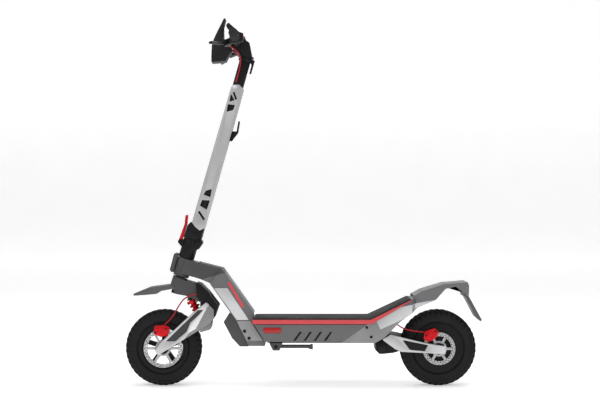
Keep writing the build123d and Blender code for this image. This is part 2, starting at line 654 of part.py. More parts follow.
with BuildPart() as deck_lid:
    slab(sheet_outline(-LID_THICKNESS, 0, MAT_START), -DECK_HALF, DECK_HALF)
    with BuildSketch(Plane.XY.offset(DECK_TOP - 30)) as lid_plan:
        Polygon(
            (MAT_START - 1, -DECK_HALF), (KICK_START + 12, -DECK_HALF), (KICK_START + 150, -84),
            (KICK_START + 150, 84), (KICK_START + 12, DECK_HALF), (MAT_START - 1, DECK_HALF),
            align=None,
        )
    extrude(lid_plan.sketch, amount=180, mode=Mode.INTERSECT)
keep(deck_lid, "deck_lid")

with BuildPart() as deck_mat:
    slab(sheet_outline(-LID_THICKNESS - MAT_THICKNESS, -LID_THICKNESS, MAT_START + 4), -88, 88)
    with BuildSketch(Plane.XY.offset(DECK_TOP - 30)) as mat_plan:
        Polygon(
            (MAT_START, -88), (KICK_START + 12, -88), (KICK_START + 144, -75),
            (KICK_START + 144, 75), (KICK_START + 12, 88), (MAT_START, 88), align=None,
        )
    extrude(mat_plan.sketch, amount=180, mode=Mode.INTERSECT)
keep(deck_mat, "deck_mat")

SLASH_FOOT = KICK_START - 106.0
SLASH_TOP = KICK_START - 16.0
PANEL = [
    (DECK_START + 13 / SLANT, DECK_TOP - 17), (FOOT_X, CHASSIS_LOW), (SLASH_FOOT + 4, CHASSIS_LOW),
    (SLASH_TOP + 4, DECK_TOP - 17),
]
VENT_FOOT = -39.0
(TRIM_BEND, TRIM_END) = kick_offset(TRIM_HEIGHT)
(TOP_BEND, TOP_END) = kick_offset(0.0)
TRIM = [
    (DECK_START + 2, DECK_TOP - TRIM_HEIGHT), TRIM_BEND, (TOP_END[0] - 2, TOP_END[1] - 4),
    (TOP_END[0], TOP_END[1]), TOP_BEND, (DECK_START, DECK_TOP),
]

CORE_PLAN = [
    (DECK_START - 9, -CHASSIS_HALF), (KICK_START + 12, -CHASSIS_HALF), (KICK_START + 150, -80.5),
    (KICK_START + 150, 80.5), (KICK_START + 12, CHASSIS_HALF), (DECK_START - 9, CHASSIS_HALF),
]
TRIM_PLAN = [
    (DECK_START, -DECK_HALF - TRIM_THICKNESS), (KICK_START + 12, -DECK_HALF - TRIM_THICKNESS),
    (KICK_START + 148, -87), (KICK_START + 148, 87), (KICK_START + 12, DECK_HALF + TRIM_THICKNESS),
    (DECK_START, DECK_HALF + TRIM_THICKNESS),
]

with BuildPart() as side_panels:
    for y_inner, y_face in ((1 - DECK_HALF, 1 - DECK_HALF), (CHASSIS_HALF, CHASSIS_HALF + 5)):
        slab(PANEL, y_inner, y_inner + 5)
        for number in range(4):
            foot = VENT_FOOT + 36.3 * number
            slab(
                [(foot, 171), (foot + 9, 171), (foot + 32, 203), (foot + 23, 203)],
                y_face - 2, y_face + 2, mode=Mode.SUBTRACT,
            )
keep(side_panels, "side_panels")

with BuildPart() as edge_trims:
    slab(TRIM, -DECK_HALF - TRIM_THICKNESS, DECK_HALF + TRIM_THICKNESS)
    with BuildSketch(Plane.XY.offset(DECK_TOP - 40)) as trim_plan:
        Polygon(*TRIM_PLAN, align=None)
    extrude(trim_plan.sketch, amount=180, mode=Mode.INTERSECT)
    with BuildSketch(Plane.XY.offset(DECK_TOP - 40)) as core_plan:
        Polygon(*CORE_PLAN, align=None)
    extrude(core_plan.sketch, amount=180, mode=Mode.SUBTRACT)
keep(edge_trims, "edge_trims")

# ---- Frame: tail --------------------------------------------------------------------------
TAIL = [
    (SLASH_FOOT, DECK_BOTTOM), (KICK_START + 16, DECK_BOTTOM), (KICK_START + 48, 180.5),
    (KICK_START + 105.6, 237), (KICK_START + 177.7, 286.7), (KICK_START + 235.5, 311.4),
    (KICK_START + 233, 330), (KICK_START + 192, 332), TOP_END, TOP_BEND, (SLASH_TOP, DECK_TOP),
    (SLASH_TOP, DECK_TOP - 15),
]
TAIL_HOLLOW = [
    (KICK_START + 19, 170), (KICK_START + 44, 186), (KICK_START + 102, 243),
    (KICK_START + 136, 268), (KICK_START + 136, 296), (KICK_START + 24, 244),
]

with BuildPart() as tail:
    slab(TAIL, -DECK_HALF, DECK_HALF)
    with BuildSketch(Plane.XY.offset(DECK_BOTTOM - 10)) as tail_plan:
        Polygon(
            (SLASH_FOOT - 1, -DECK_HALF), (KICK_START + 12, -DECK_HALF), (KICK_START + 150, -84),
            (KICK_START + 164, -50), (KICK_START + 240, -50), (KICK_START + 240, 50),
            (KICK_START + 164, 50), (KICK_START + 150, 84), (KICK_START + 12, DECK_HALF),
            (SLASH_FOOT - 1, DECK_HALF), align=None,
        )
    extrude(tail_plan.sketch, amount=200, mode=Mode.INTERSECT)
    slab(TAIL_HOLLOW, -74, 74, mode=Mode.SUBTRACT)
    slab(
        [(SLASH_FOOT - 10, DECK_BOTTOM - 5), (CHASSIS_REAR, DECK_BOTTOM - 5),
         (CHASSIS_REAR, DECK_TOP + 30), (SLASH_FOOT - 10, DECK_TOP + 30)],
        -CHASSIS_HALF, CHASSIS_HALF, mode=Mode.SUBTRACT,
    )
    slab(PANEL, -DECK_HALF - 1, -CHASSIS_HALF, mode=Mode.SUBTRACT)
    slab(PANEL, CHASSIS_HALF, DECK_HALF + 1, mode=Mode.SUBTRACT)
    add(edge_trims.part, mode=Mode.SUBTRACT)
keep(tail, "tail_casting")

FENDER_TOP = [(-95, 189), (-59, 209), (20, 233), (104, 240), (108, 214), (107, 190)]
FENDER_LOW = [(89, 200), (60, 224), (24, 216), (-12, 176), (-84, 165)]
FENDER_WELL = [(-120, 182), (-62, 200), (20, 224), (95, 230), (97, 150), (-60, 120)]
FENDER_HALF = 58.0

with BuildPart() as rear_fender:
    slab(from_point(REAR_AXLE, FENDER_TOP + FENDER_LOW), -FENDER_HALF, FENDER_HALF)
    slab(
        from_point(REAR_AXLE, FENDER_WELL), -FENDER_HALF + 5, FENDER_HALF - 5, mode=Mode.SUBTRACT,
    )
    add(tail.part, mode=Mode.SUBTRACT)
keep(rear_fender, "rear_fender")

MUD_FLAP = [(94, 193), (108, 189), (156, 103), (152, 97), (136, 112)]

with BuildPart() as mud_flap:
    slab(from_point(REAR_AXLE, MUD_FLAP), -46, 46)
    slab(from_point(REAR_AXLE, [(90, 228), (96.9, 228), (96.9, 190), (90, 188)]), -46, 46)
    add(rear_fender.part, mode=Mode.SUBTRACT)
    slab(from_point(REAR_AXLE, [(60, 226), (91, 229), (91, 219), (60, 216)]), -16, 16, corner=2.0)
keep(mud_flap, "mud_flap")

with BuildPart() as reflectors:
    with BuildSketch(facing_front(REAR_AXLE[0] + 105.0)) as lamp:
        with Locations((0, REAR_AXLE[1] + 213)):
            RectangleRounded(74, 34, 6)
    extrude(lamp.sketch, amount=6)
    add(rear_fender.part, mode=Mode.SUBTRACT)
    for y_face in (-DECK_HALF - 1.5, DECK_HALF - 1):
        with BuildSketch(side(y_face + 2.5)) as lens:
            with Locations((DECK_START + 71, DECK_TOP - 37.5)):
                SlotOverall(66, 20)
        extrude(lens.sketch, amount=2.5)
keep(reflectors, "reflectors")

# ---- Rear suspension ----------------------------------------------------------------------
HOUSING_RADIUS = 25.0
REAR_SHAFT_RADIUS = 9.0

with BuildPart() as pivot_housing:
    with BuildSketch(side(REAR_ARM_GAP - 2)) as octagon:
        with Locations(REAR_PIVOT):
            RegularPolygon(HOUSING_RADIUS, 8, rotation=22.5)
        Polygon(
            (REAR_PIVOT[0] - 23, REAR_PIVOT[1]), (REAR_PIVOT[0] - 23, 176),
            (REAR_PIVOT[0] + 10, 182), (REAR_PIVOT[0] + 22, REAR_PIVOT[1] + 8), align=None,
        )
    extrude(octagon.sketch, amount=2 * (REAR_ARM_GAP - 2))
    slab(TAIL, -DECK_HALF - 1, DECK_HALF + 1, mode=Mode.SUBTRACT)
    disc(REAR_PIVOT, REAR_SHAFT_RADIUS, -REAR_ARM_GAP, REAR_ARM_GAP, mode=Mode.SUBTRACT)
keep(pivot_housing, "pivot_housing")

REAR_ARM = from_point(REAR_PIVOT, [
    (12, 30), (171, 16), (222, 10), (222, -18), (156, -16), (64, -11), (40, -18), (0, -22),
])
REAR_COVER = from_point(REAR_PIVOT, [
    (0, 31), (30, 48), (159, 17), (227, 6), (226, -22), (154, -17), (68, -13), (46, -3),
    (10.7, 22.8),
])
REAR_INLAY = from_point(REAR_PIVOT, [(72, 30), (166, 11), (153, -11), (98, -6)])

with BuildPart() as rear_arms:
    for y_inner in (-REAR_ARM_FACE, REAR_ARM_GAP):
        disc(REAR_PIVOT, 22.0, y_inner, y_inner + REAR_ARM_THICKNESS)
        slab(REAR_ARM, y_inner, y_inner + REAR_ARM_THICKNESS)
    slab(
        from_point(REAR_PIVOT, [(32, -14), (58, -10), (56, 12), (34, 18)]),
        -REAR_ARM_GAP, REAR_ARM_GAP, corner=3.0,
    )
    disc(
        REAR_PIVOT, REAR_SHAFT_RADIUS + RUNNING, -REAR_ARM_FACE, REAR_ARM_FACE, mode=Mode.SUBTRACT,
    )
    disc(REAR_AXLE, AXLE_RADIUS + SEAT, -REAR_ARM_FACE, REAR_ARM_FACE, mode=Mode.SUBTRACT)
keep(rear_arms, "rear_arms")

COVER_FACE = REAR_ARM_FACE + COVER_THICKNESS
NUT_POCKET = REAR_ARM_FACE + REAR_NUT_HEIGHT + 1.0

with BuildPart() as rear_arm_covers:
    slab(REAR_COVER, REAR_ARM_FACE, COVER_FACE, corner=3.0)
    slab(REAR_COVER, -COVER_FACE, -REAR_ARM_FACE, corner=3.0)
    disc(REAR_AXLE, REAR_NUT_RADIUS + GAP, -NUT_POCKET, NUT_POCKET, mode=Mode.SUBTRACT)
    slab(REAR_INLAY, COVER_FACE - RECESS, COVER_FACE, corner=2.0, mode=Mode.SUBTRACT)
    slab(REAR_INLAY, -COVER_FACE, -COVER_FACE + RECESS, corner=2.0, mode=Mode.SUBTRACT)
keep(rear_arm_covers, "rear_arm_covers")

# ---- Frame: inside the deck, kickstand and small parts ------------------------------------
CAVITY_FRONT = FOOT_X + 22.0
with BuildPart() as battery_pack:
    with Locations((CAVITY_FRONT + 140, 0, CHASSIS_LOW + 35)):
        Box(270, 2 * CHASSIS_HALF - 2 * WALL - 12, 66)
    fillet(battery_pack.edges().filter_by(Axis.X), 6)
    with Locations((CAVITY_FRONT + 318, 0, CHASSIS_LOW + 26)):
        Box(56, 110, 44)
    with Locations((CAVITY_FRONT + 318, 0, CHASSIS_LOW + 48)):
        with GridLocations(0, 12, 1, 8):
            Box(52, 4, 10)
keep(battery_pack, "battery_and_controller")

STAND = (-100.0, 150.0)
STAND_Y = -84.0
STAND_REACH = 132.0

with BuildPart() as kickstand_bracket:
    slab(
        from_point(STAND, [(-24, 13), (24, 13), (13, -13), (-10, -13)]),
        STAND_Y - 16, STAND_Y + 16, corner=2.0,
    )
    slab(
        from_point(STAND, [(-9, -20), (-9, 9), (40, 9), (40, -20)]),
        STAND_Y - 9, STAND_Y + 9, mode=Mode.SUBTRACT,
    )
    disc(STAND, 4.0, STAND_Y - 20, STAND_Y + 20, mode=Mode.SUBTRACT)
keep(kickstand_bracket, "kickstand_bracket")

LEG_SCREWS = from_point(HEAD, [(235.4, -194.8), (251.5, -220.3)])
TAIL_SCREWS = [(KICK_START + 2, DECK_BOTTOM + 22), (KICK_START - 14, DECK_BOTTOM + 56)]

with BuildPart() as frame_pins:
    disc(STAND, 4.0, STAND_Y - 17, STAND_Y + 17)
    disc(STAND, 6.5, STAND_Y - 19, STAND_Y - 17)
    disc(STAND, 6.5, STAND_Y + 17, STAND_Y + 19)
    disc(REAR_PIVOT, REAR_SHAFT_RADIUS, -REAR_ARM_FACE - 1, REAR_ARM_FACE + 1)
    disc(REAR_PIVOT, 14.0, REAR_ARM_FACE + 1, REAR_ARM_FACE + 6)
    disc(REAR_PIVOT, 14.0, -REAR_ARM_FACE - 6, -REAR_ARM_FACE - 1)
    for y_face, sign in ((-LEG_HALF - 4, -1), (LEG_HALF + 4, 1)):
        for place in LEG_SCREWS:
            disc(place, 6.0, min(y_face, y_face + 2 * sign), max(y_face, y_face + 2 * sign))
    for y_face, sign in ((-DECK_HALF, -1), (DECK_HALF, 1)):
        for place in TAIL_SCREWS:
            disc(place, 5.0, min(y_face, y_face + 2 * sign), max(y_face, y_face + 2 * sign))
keep(frame_pins, "frame_pins")

with BuildPart() as kickstand:
    disc(STAND, 8.5, STAND_Y - 8.5, STAND_Y + 8.5)
    with BuildSketch(Plane(origin=(STAND[0] + 6, STAND_Y, STAND[1]), x_dir=(0, 1, 0), z_dir=(1, 0, 0))):
        Circle(6.5)
    extrude(amount=STAND_REACH - 16)
    slab(
        from_point(STAND, [
            (STAND_REACH - 16, -7), (STAND_REACH - 8, 8), (STAND_REACH, 8), (STAND_REACH, -10),
        ]),
        STAND_Y - 14, STAND_Y + 9, corner=1.5,
    )
    disc(STAND, 4.0 + RUNNING, STAND_Y - 10, STAND_Y + 10, mode=Mode.SUBTRACT)
keep(kickstand, "kickstand")

# ---- Stem ---------------------------------------------------------------------------------
PLATE = [
    (-26, 4), (-8, -10), (10, -17), (24, -4), (24, 520), (4, 531), (-15, 526), (-22, 514),
]
CORE = [(-21, 8), (-5, -6), (10, -12), (19, -2), (20, 516), (3, 526), (-13, 521), (-18, 511)]
TOP_WINDOWS = [
    [(-11, 498), (-5, 502), (12, 478), (6, 474)],
    [(-16, 492), (-13, 462), (4, 472)],
    [(-16, 452), (-13, 424), (8, 436), (10, 456)],
]
FOOT_WINDOWS = [
    [(14, 110), (11, 140), (-8, 128), (-12, 112)],
    [(14, 62), (16, 98), (-12, 92), (-14, 70)],
    [(12, 22), (18, 28), (-10, 52), (-15, 46)],
]
PLATE_INNER = 21.0

with BuildPart() as stem_plates:
    slab(PLATE, 11, PLATE_INNER + PLATE_THICKNESS, where=stemmed)
    slab(PLATE, -PLATE_INNER - PLATE_THICKNESS, -11, where=stemmed)
    slab(CORE, -PLATE_INNER, PLATE_INNER, where=stemmed, mode=Mode.SUBTRACT)
    for window in TOP_WINDOWS + FOOT_WINDOWS:
        slab(window, -40, 40, where=stemmed, corner=1.5, mode=Mode.SUBTRACT)
    ring(stem_across(-30.0), 700.0, STEM_TOP_RADIUS + 0.2, mode=Mode.SUBTRACT)
keep(stem_plates, "stem_plates")

TUBE_FOOT = 6.0
TUBE_TOP = 634.0
with BuildPart() as stem_tube:
    ring(stem_across(TUBE_FOOT), TUBE_TOP - TUBE_FOOT, STEM_TOP_RADIUS, STEM_TOP_RADIUS - 3)
keep(stem_tube, "stem_tube")

with BuildPart() as fold_knuckle:
    slab([(-29, 140), (18, 140), (34, 158), (33, 192), (-14, 212), (-28, 186)], -24, 24, where=steered)
    slab([(10, 140), (24, 137), (34, 137), (34, 170), (10, 170)], -LUG_INNER + GAP, LUG_INNER - GAP,
         where=steered)
    for y_inner in (-LUG_OUTER, LUG_INNER - GAP):
        disc(FOLD, LUG_RADIUS + 1.0, y_inner, y_inner + LUG_OUTER - LUG_INNER + GAP,
             where=steered, mode=Mode.SUBTRACT)
    disc(FOLD, LUG_RADIUS, -LUG_INNER + GAP, LUG_INNER - GAP, where=steered)
    disc(FOLD, 6.0 + RUNNING, -LUG_OUTER, LUG_OUTER, where=steered, mode=Mode.SUBTRACT)
    slab(PLATE, PLATE_INNER, 30, where=stemmed, mode=Mode.SUBTRACT)
    slab(PLATE, -30, -PLATE_INNER, where=stemmed, mode=Mode.SUBTRACT)
    slab([(-45, 4), (-26, 4), (-8, -10), (10, -17), (24, -4), (45, -4), (45, 80), (-45, 80)],
         -30, 30, where=stemmed, mode=Mode.SUBTRACT)
    ring(stem_across(-16.0), 22.0, STEM_TOP_RADIUS - 0.5)
keep(fold_knuckle, "fold_knuckle")

with BuildPart() as bag_hook:
    slab(
        [(24, 326), (24, 362), (40, 366), (36, 404), (42, 405), (47, 362), (32, 326)],
        -7, 7, where=stemmed, corner=1.2,
    )
    ring(stem_across(619.0), 13.0, STEM_TOP_RADIUS + 4, STEM_TOP_RADIUS)
    slab([(23, 632), (34, 632), (34, 584), (28, 580), (27, 612), (23, 619)], -9, 9, where=stemmed)
keep(bag_hook, "stem_hooks")

# ---- Cockpit ------------------------------------------------------------------------------
HEAD_SHAPE = [
    (14, -42), (54, -55), (42, 6), (28, 16), (4, 22), (-16, 16), (-22, -12), (-10, -28),
]

with BuildPart() as stem_head:
    slab(from_point(BAR_POINT, HEAD_SHAPE), -24, 24, corner=4.0)
    bar_ring(-34, 34, 19.0)
    ring(stem_across(600.0), TUBE_TOP - 600, 60.0, mode=Mode.SUBTRACT)
    bar_ring(-40, 40, BAR_RADIUS, mode=Mode.SUBTRACT)
keep(stem_head, "stem_head")

GRIP_END = BAR_HALF - 3.0
with BuildPart() as handlebar:
    bar_ring(-GRIP_END, GRIP_END, BAR_RADIUS, BAR_RADIUS - 2)
keep(handlebar, "handlebar")

PERCH_LOW = BAR_HALF - 178.0


def span(hand, y_a, y_b):
    """The low and high Y of a stretch of the bar on one hand, -1 for left and 1 for right."""
    return min(hand * y_a, hand * y_b), max(hand * y_a, hand * y_b)


with BuildPart() as grips:
    for hand in (-1, 1):
        bar_ring(*span(hand, GRIP_END - GRIP_LENGTH, GRIP_END), GRIP_RADIUS - 1)
        bar_ring(*span(hand, GRIP_END - GRIP_LENGTH, GRIP_END - GRIP_LENGTH + 4), GRIP_RADIUS + 3)
        for number in range(12):
            start = GRIP_END - 112 + 9 * number
            bar_ring(*span(hand, start, start + 5), GRIP_RADIUS)
        bar_ring(*span(hand, GRIP_END, BAR_HALF), GRIP_RADIUS - 2)
        bar_ring(*span(hand, 0, GRIP_END), BAR_RADIUS, mode=Mode.SUBTRACT)
keep(grips, "grips")

LEVER_SINK = 0.402
NORMAL = Vector(-LEVER_SINK, 0, 1).normalized()


def lever_plane(sign, lift=0.0):
    """Local x runs outboard from mid-bar and local y forward from the bar in the lever's plane."""
    origin = Vector(BAR_POINT[0], 0, BAR_POINT[1]) + NORMAL * lift
    return Plane(origin=origin, x_dir=(0, sign, 0), z_dir=NORMAL * sign)


LEVER_PIVOT = (BAR_HALF - 165.0, 38.0)
LEVER_BLADE = [(-8, 6), (-6, -7), (11, -7), (35, 12), (133, 39), (132, 50), (31, 24), (7, 9)]

with BuildPart() as brake_perches:
    for hand in (-1, 1):
        bar_ring(*span(hand, PERCH_LOW, PERCH_LOW + 26), 17.0)
        with BuildSketch(lever_plane(hand)) as body:
            Polygon(
                (PERCH_LOW, 8), (PERCH_LOW + 26, 8), (PERCH_LOW + 26, 46), (PERCH_LOW - 2, 46),
                (PERCH_LOW - 30, 34), (PERCH_LOW - 30, 24), (PERCH_LOW, 20), align=None,
            )
        extrude(body.sketch, amount=10, both=True)
        with BuildSketch(lever_plane(hand)) as slot:
            Polygon(
                (PERCH_LOW + 2, 26), (PERCH_LOW + 60, 26), (PERCH_LOW + 60, 60),
                (PERCH_LOW + 2, 60), align=None,
            )
        extrude(slot.sketch, amount=4.5, both=True, mode=Mode.SUBTRACT)
        with BuildSketch(lever_plane(hand)) as pin:
            with Locations(LEVER_PIVOT):
                Circle(3.0)
        extrude(pin.sketch, amount=4.5, both=True)
    bar_ring(-BAR_HALF, BAR_HALF, BAR_RADIUS, mode=Mode.SUBTRACT)
keep(brake_perches, "brake_perches")

for label, hand in (("brake_lever_left", -1), ("brake_lever_right", 1)):
    with BuildPart() as lever:
        with BuildSketch(lever_plane(hand)) as blade:
            with Locations(LEVER_PIVOT):
                Polygon(*LEVER_BLADE, align=None)
                Circle(8)
                with Locations((134, 45)):
                    Circle(6.5)
            with Locations(LEVER_PIVOT):
                Circle(3.0 + RUNNING, mode=Mode.SUBTRACT)
        extrude(blade.sketch, amount=3.8, both=True)
    keep(lever, label)

POD_LOW = BAR_HALF - 146.0
THROTTLE_ARM = [(8, -14), (44, -30), (48, -22), (15, -4)]

BUTTON_PLACES = {"horn_button": -POD_LOW - 13.0, "mode_button": -POD_LOW - 1.0}
BUTTON_Z = BAR_POINT[1] + 2.0
BUTTON_DEPTH = 6.0
POD_FACE = BAR_POINT[0] + 28.0

with BuildPart() as bar_controls:
    bar_ring(POD_LOW, POD_LOW + 19, 20.0)
    bar_ring(POD_LOW + 6, POD_LOW + 13, 21.0, 14.0, mode=Mode.SUBTRACT)
    bar_ring(0, BAR_HALF, BAR_RADIUS, mode=Mode.SUBTRACT)
    bar_ring(-POD_LOW - 19, -POD_LOW, 20.0)
    slab(
        from_point(BAR_POINT, [(6, -16), (28, -13), (28, 15), (4, 22)]),
        -POD_LOW - 19, -POD_LOW + 5,
    )
    for y_button in BUTTON_PLACES.values():
        with BuildSketch(facing_front(POD_FACE - BUTTON_DEPTH)) as well:
            with Locations((y_button, BUTTON_Z)):
                Circle(4.6)
        extrude(well.sketch, amount=BUTTON_DEPTH, mode=Mode.SUBTRACT)
    bar_ring(-BAR_HALF, 0, BAR_RADIUS, mode=Mode.SUBTRACT)
keep(bar_controls, "bar_controls")

with BuildPart() as throttle_lever:
    bar_ring(POD_LOW + 6.5, POD_LOW + 12.5, 19.7)
    slab(from_point(BAR_POINT, THROTTLE_ARM), POD_LOW + 6.5, POD_LOW + 12.5)
    slab(
        from_point(BAR_POINT, [(31, -31), (44, -38), (50, -22), (36, -18)]),
        POD_LOW - 2, POD_LOW + 18, corner=2.0,
    )
    bar_ring(0, BAR_HALF, 14.0 + RUNNING, mode=Mode.SUBTRACT)
keep(throttle_lever, "throttle_lever")

for label, y_button in BUTTON_PLACES.items():
    with BuildPart() as button:
        with BuildSketch(facing_front(POD_FACE - BUTTON_DEPTH + 2.0)) as cap:
            with Locations((y_button, BUTTON_Z)):
                Circle(4.5)
        extrude(cap.sketch, amount=BUTTON_DEPTH)
        fillet(button.edges().sort_by(Axis.X)[-1], 1.0)
    keep(button, label)

with BuildPart() as display_pod:
    slab(from_point(BAR_POINT, [(-33.5, 77.5), (28.5, 23), (19, 14), (-43, 66)]), -40, 40, corner=3.0)
    slab(from_point(BAR_POINT, [(-6, 15), (16, 12), (10, 30), (-12, 42)]), -16, 16)
    slab(from_point(BAR_POINT, HEAD_SHAPE), -24, 24, corner=4.0, mode=Mode.SUBTRACT)
    slab(from_point(BAR_POINT, [(-28, 75.5), (24, 29.6), (22.6, 28), (-29.4, 73.9)]), -35, 35,
         mode=Mode.SUBTRACT)
    bar_ring(-60, 60, 19.0, mode=Mode.SUBTRACT)
keep(display_pod, "display_pod")

with BuildPart() as display_glass:
    slab(from_point(BAR_POINT, [(-28, 75.5), (24, 29.6), (22.6, 28), (-29.4, 73.9)]), -34.8, 34.8)
    slab(from_point(BAR_POINT, [(-33.5, 77.5), (28.5, 23), (19, 14), (-43, 66)]), -40, 40, corner=3.0,
         mode=Mode.INTERSECT)

COWL = [(-86.5, 19), (-50, 97.5), (-44, 92), (-52, 64), (-52, 19)]

with BuildPart() as headlight_cowl:
    slab(from_point(BAR_POINT, COWL), -34, 34)
    with BuildSketch(facing_front(BAR_POINT[0] - 100)) as cowl_front:
        Polygon(
            (-34, BAR_POINT[1] + 18), (-34, BAR_POINT[1] + 44), (-18, BAR_POINT[1] + 99),
            (18, BAR_POINT[1] + 99), (34, BAR_POINT[1] + 44), (34, BAR_POINT[1] + 18), align=None,
        )
    extrude(cowl_front.sketch, amount=90, mode=Mode.INTERSECT)
    slab(from_point(BAR_POINT, [(-77, 23), (-54, 74), (-40, 74), (-40, 23)]), -12, 12,
         mode=Mode.SUBTRACT)

LAMP = [(-94, -8), (-95.6, -65), (-44.5, -61), (-24, -24), (-24, 10), (-52, 19), (-86.5, 19)]

with BuildPart() as headlight_housing:
    slab(from_point(BAR_POINT, LAMP), -36, 36)
    slab(from_point(BAR_POINT, [(-24, -8), (-24, 8), (-14, 10), (-14, -12)]), -20, 20)
    slab(from_point(BAR_POINT, [(-100, -20), (-100, -52), (-80, -50), (-80, -22)]), -28, 28,
         mode=Mode.SUBTRACT)
    slab(from_point(BAR_POINT, HEAD_SHAPE), -24, 24, corner=4.0, mode=Mode.SUBTRACT)
    bar_ring(-60, 60, 19.0, mode=Mode.SUBTRACT)
    add(headlight_cowl.part)
keep(headlight_housing, "headlight_housing")

with BuildPart() as clear_covers:
    slab(from_point(BAR_POINT, [(-95.2, -21), (-96.4, -51), (-84, -50), (-84, -22)]), -28, 28)
    add(display_glass.part)
keep(clear_covers, "clear_covers")

# ---- Brake hoses --------------------------------------------------------------------------
front_hose = hose(
    from_place(FRONT_AXLE, [
        (121, -45, 197), (84, -46, 189), (57, -46, 155), (35, -46, 110), (6, -44, 86.6),
    ]),
    HOSE_RADIUS,
)
keep(front_hose, "front_hose")

rear_hose = hose(
    from_place(REAR_AXLE, [
        (-151, -60, 88.5), (-135, -60, 75), (-102, -60, 66), (-70, -57, 62), (-55.5, -52, 59.5),
    ]),
    HOSE_RADIUS,
)
keep(rear_hose, "rear_hose")

HOSE_ON_TUBE = STEM_TOP_RADIUS + HOSE_RADIUS + GAP
HOSE_FORWARD = 9.5
HOSE_SIDE = (HOSE_ON_TUBE ** 2 - HOSE_FORWARD ** 2) ** 0.5
HOSE_END = 536.0
HOSE_LANDING = 590.0


def stem_point(behind, along, y):
    """A point given in the stem's own axes, behind it and along it."""
    x = STEM_ORIGIN[0] + behind * STEM_COS + along * STEM_SIN
    return (x, y, STEM_ORIGIN[2] - behind * STEM_SIN + along * STEM_COS)


with BuildPart() as cockpit_hoses:
    for hand in (-1, 1):
        lead = [(-26.9, 122, -10.8), (-29, 92, -13), (-18, 62, -17), (2, 42, -31), (11, 31, -52)]
        route = from_place(BAR_POINT, [(x, hand * y, z) for x, y, z in lead])
        route.append(stem_point(-HOSE_FORWARD, HOSE_LANDING, hand * (HOSE_SIDE + GAP)))
        route.append(stem_point(-HOSE_FORWARD, HOSE_END, hand * HOSE_SIDE))
        strand = hose(route, HOSE_RADIUS)
        add(strand.part)
keep(cockpit_hoses, "cockpit_hoses")
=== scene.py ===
"""Electric kick scooter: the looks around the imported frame, in metres, +Z up, front wheel at -X."""

import json
import math

import bmesh
import bpy
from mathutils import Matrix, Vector

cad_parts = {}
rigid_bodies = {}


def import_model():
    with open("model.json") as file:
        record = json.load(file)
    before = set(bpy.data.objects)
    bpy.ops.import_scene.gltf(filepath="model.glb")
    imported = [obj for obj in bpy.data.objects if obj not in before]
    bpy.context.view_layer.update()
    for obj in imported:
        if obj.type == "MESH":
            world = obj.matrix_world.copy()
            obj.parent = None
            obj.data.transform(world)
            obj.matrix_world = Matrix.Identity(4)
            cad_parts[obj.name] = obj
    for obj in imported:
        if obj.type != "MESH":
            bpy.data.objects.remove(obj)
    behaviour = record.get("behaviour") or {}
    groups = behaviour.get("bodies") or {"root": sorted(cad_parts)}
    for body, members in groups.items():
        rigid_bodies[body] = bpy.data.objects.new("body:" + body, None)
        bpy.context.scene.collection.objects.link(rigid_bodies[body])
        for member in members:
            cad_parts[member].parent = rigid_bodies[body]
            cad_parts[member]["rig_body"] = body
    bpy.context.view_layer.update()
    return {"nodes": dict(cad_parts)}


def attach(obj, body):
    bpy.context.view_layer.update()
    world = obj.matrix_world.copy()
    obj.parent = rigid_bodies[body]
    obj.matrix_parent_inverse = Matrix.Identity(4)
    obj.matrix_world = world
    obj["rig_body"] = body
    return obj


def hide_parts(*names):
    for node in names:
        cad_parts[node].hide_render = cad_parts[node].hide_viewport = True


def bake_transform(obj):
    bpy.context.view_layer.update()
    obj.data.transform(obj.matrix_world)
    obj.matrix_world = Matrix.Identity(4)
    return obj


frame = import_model()
NODES = frame["nodes"]
MM = 0.001

# ---- Places shared with the CAD source, in millimetres ------------------------------------
FRONT_AXLE = (-509.0, 137.5)
REAR_AXLE = (487.0, 137.5)
HEAD = (-449.0, 396.0)
FRONT_PIVOT = (-348.0, 258.0)
REAR_PIVOT = (281.0, 142.0)
SHOCK_TOP = (-412.0, 312.0)
SHOCK_FOOT = (-356.0, 214.0)

# ---- Camera, light and floor --------------------------------------------------------------
CAMERA_DISTANCE = 4.2
CAMERA_X = -0.014
CAMERA_HEIGHT = 0.6734
SENSOR = 36.0
FIELD_WIDTH = 2.19


def build_camera():
    """A level camera square to the left side, at the photo's distance."""
    data = bpy.data.cameras.new("camera")
    data.sensor_width = SENSOR
    data.lens = SENSOR * CAMERA_DISTANCE / FIELD_WIDTH
    camera = bpy.data.objects.new("camera", data)
    camera.location = (CAMERA_X, -CAMERA_DISTANCE, CAMERA_HEIGHT)
    camera.rotation_euler = (math.radians(90), 0, 0)
    bpy.context.scene.collection.objects.link(camera)
    bpy.context.scene.camera = camera


def area_light(name, place, size, power, target=(0, 0, 0.5)):
    """A soft rectangular lamp turned towards a point."""
    data = bpy.data.lights.new(name, "AREA")
    data.shape = "RECTANGLE"
    data.size, data.size_y = size
    data.energy = power
    light = bpy.data.objects.new(name, data)
    light.location = place
    direction = Vector(target) - light.location
    light.rotation_euler = direction.to_track_quat("-Z", "Y").to_euler()
    bpy.context.scene.collection.objects.link(light)


LAMPS = [
    ("key", (-1.8, -2.6, 2.8), (2.2, 1.4), 26),
    ("fill", (2.2, -3.2, 1.2), (2.0, 1.6), 8),
    ("back", (0.6, 2.6, 2.4), (2.6, 1.4), 16),
    ("top", (0.0, -0.2, 3.0), (3.0, 1.6), 34),
]
WORLD_STRENGTH = 0.42


def build_lights():
    """Four soft lamps, each with a place, size and power, in an even white world."""
    for lamp in LAMPS:
        area_light(*lamp)
    world = bpy.data.worlds.new("studio")
    bpy.context.scene.world = world
    world.use_nodes = True
    background = world.node_tree.nodes["Background"]
    background.inputs["Color"].default_value = (1, 1, 1, 1)
    background.inputs["Strength"].default_value = WORLD_STRENGTH
    bpy.context.scene.view_settings.view_transform = "Standard"


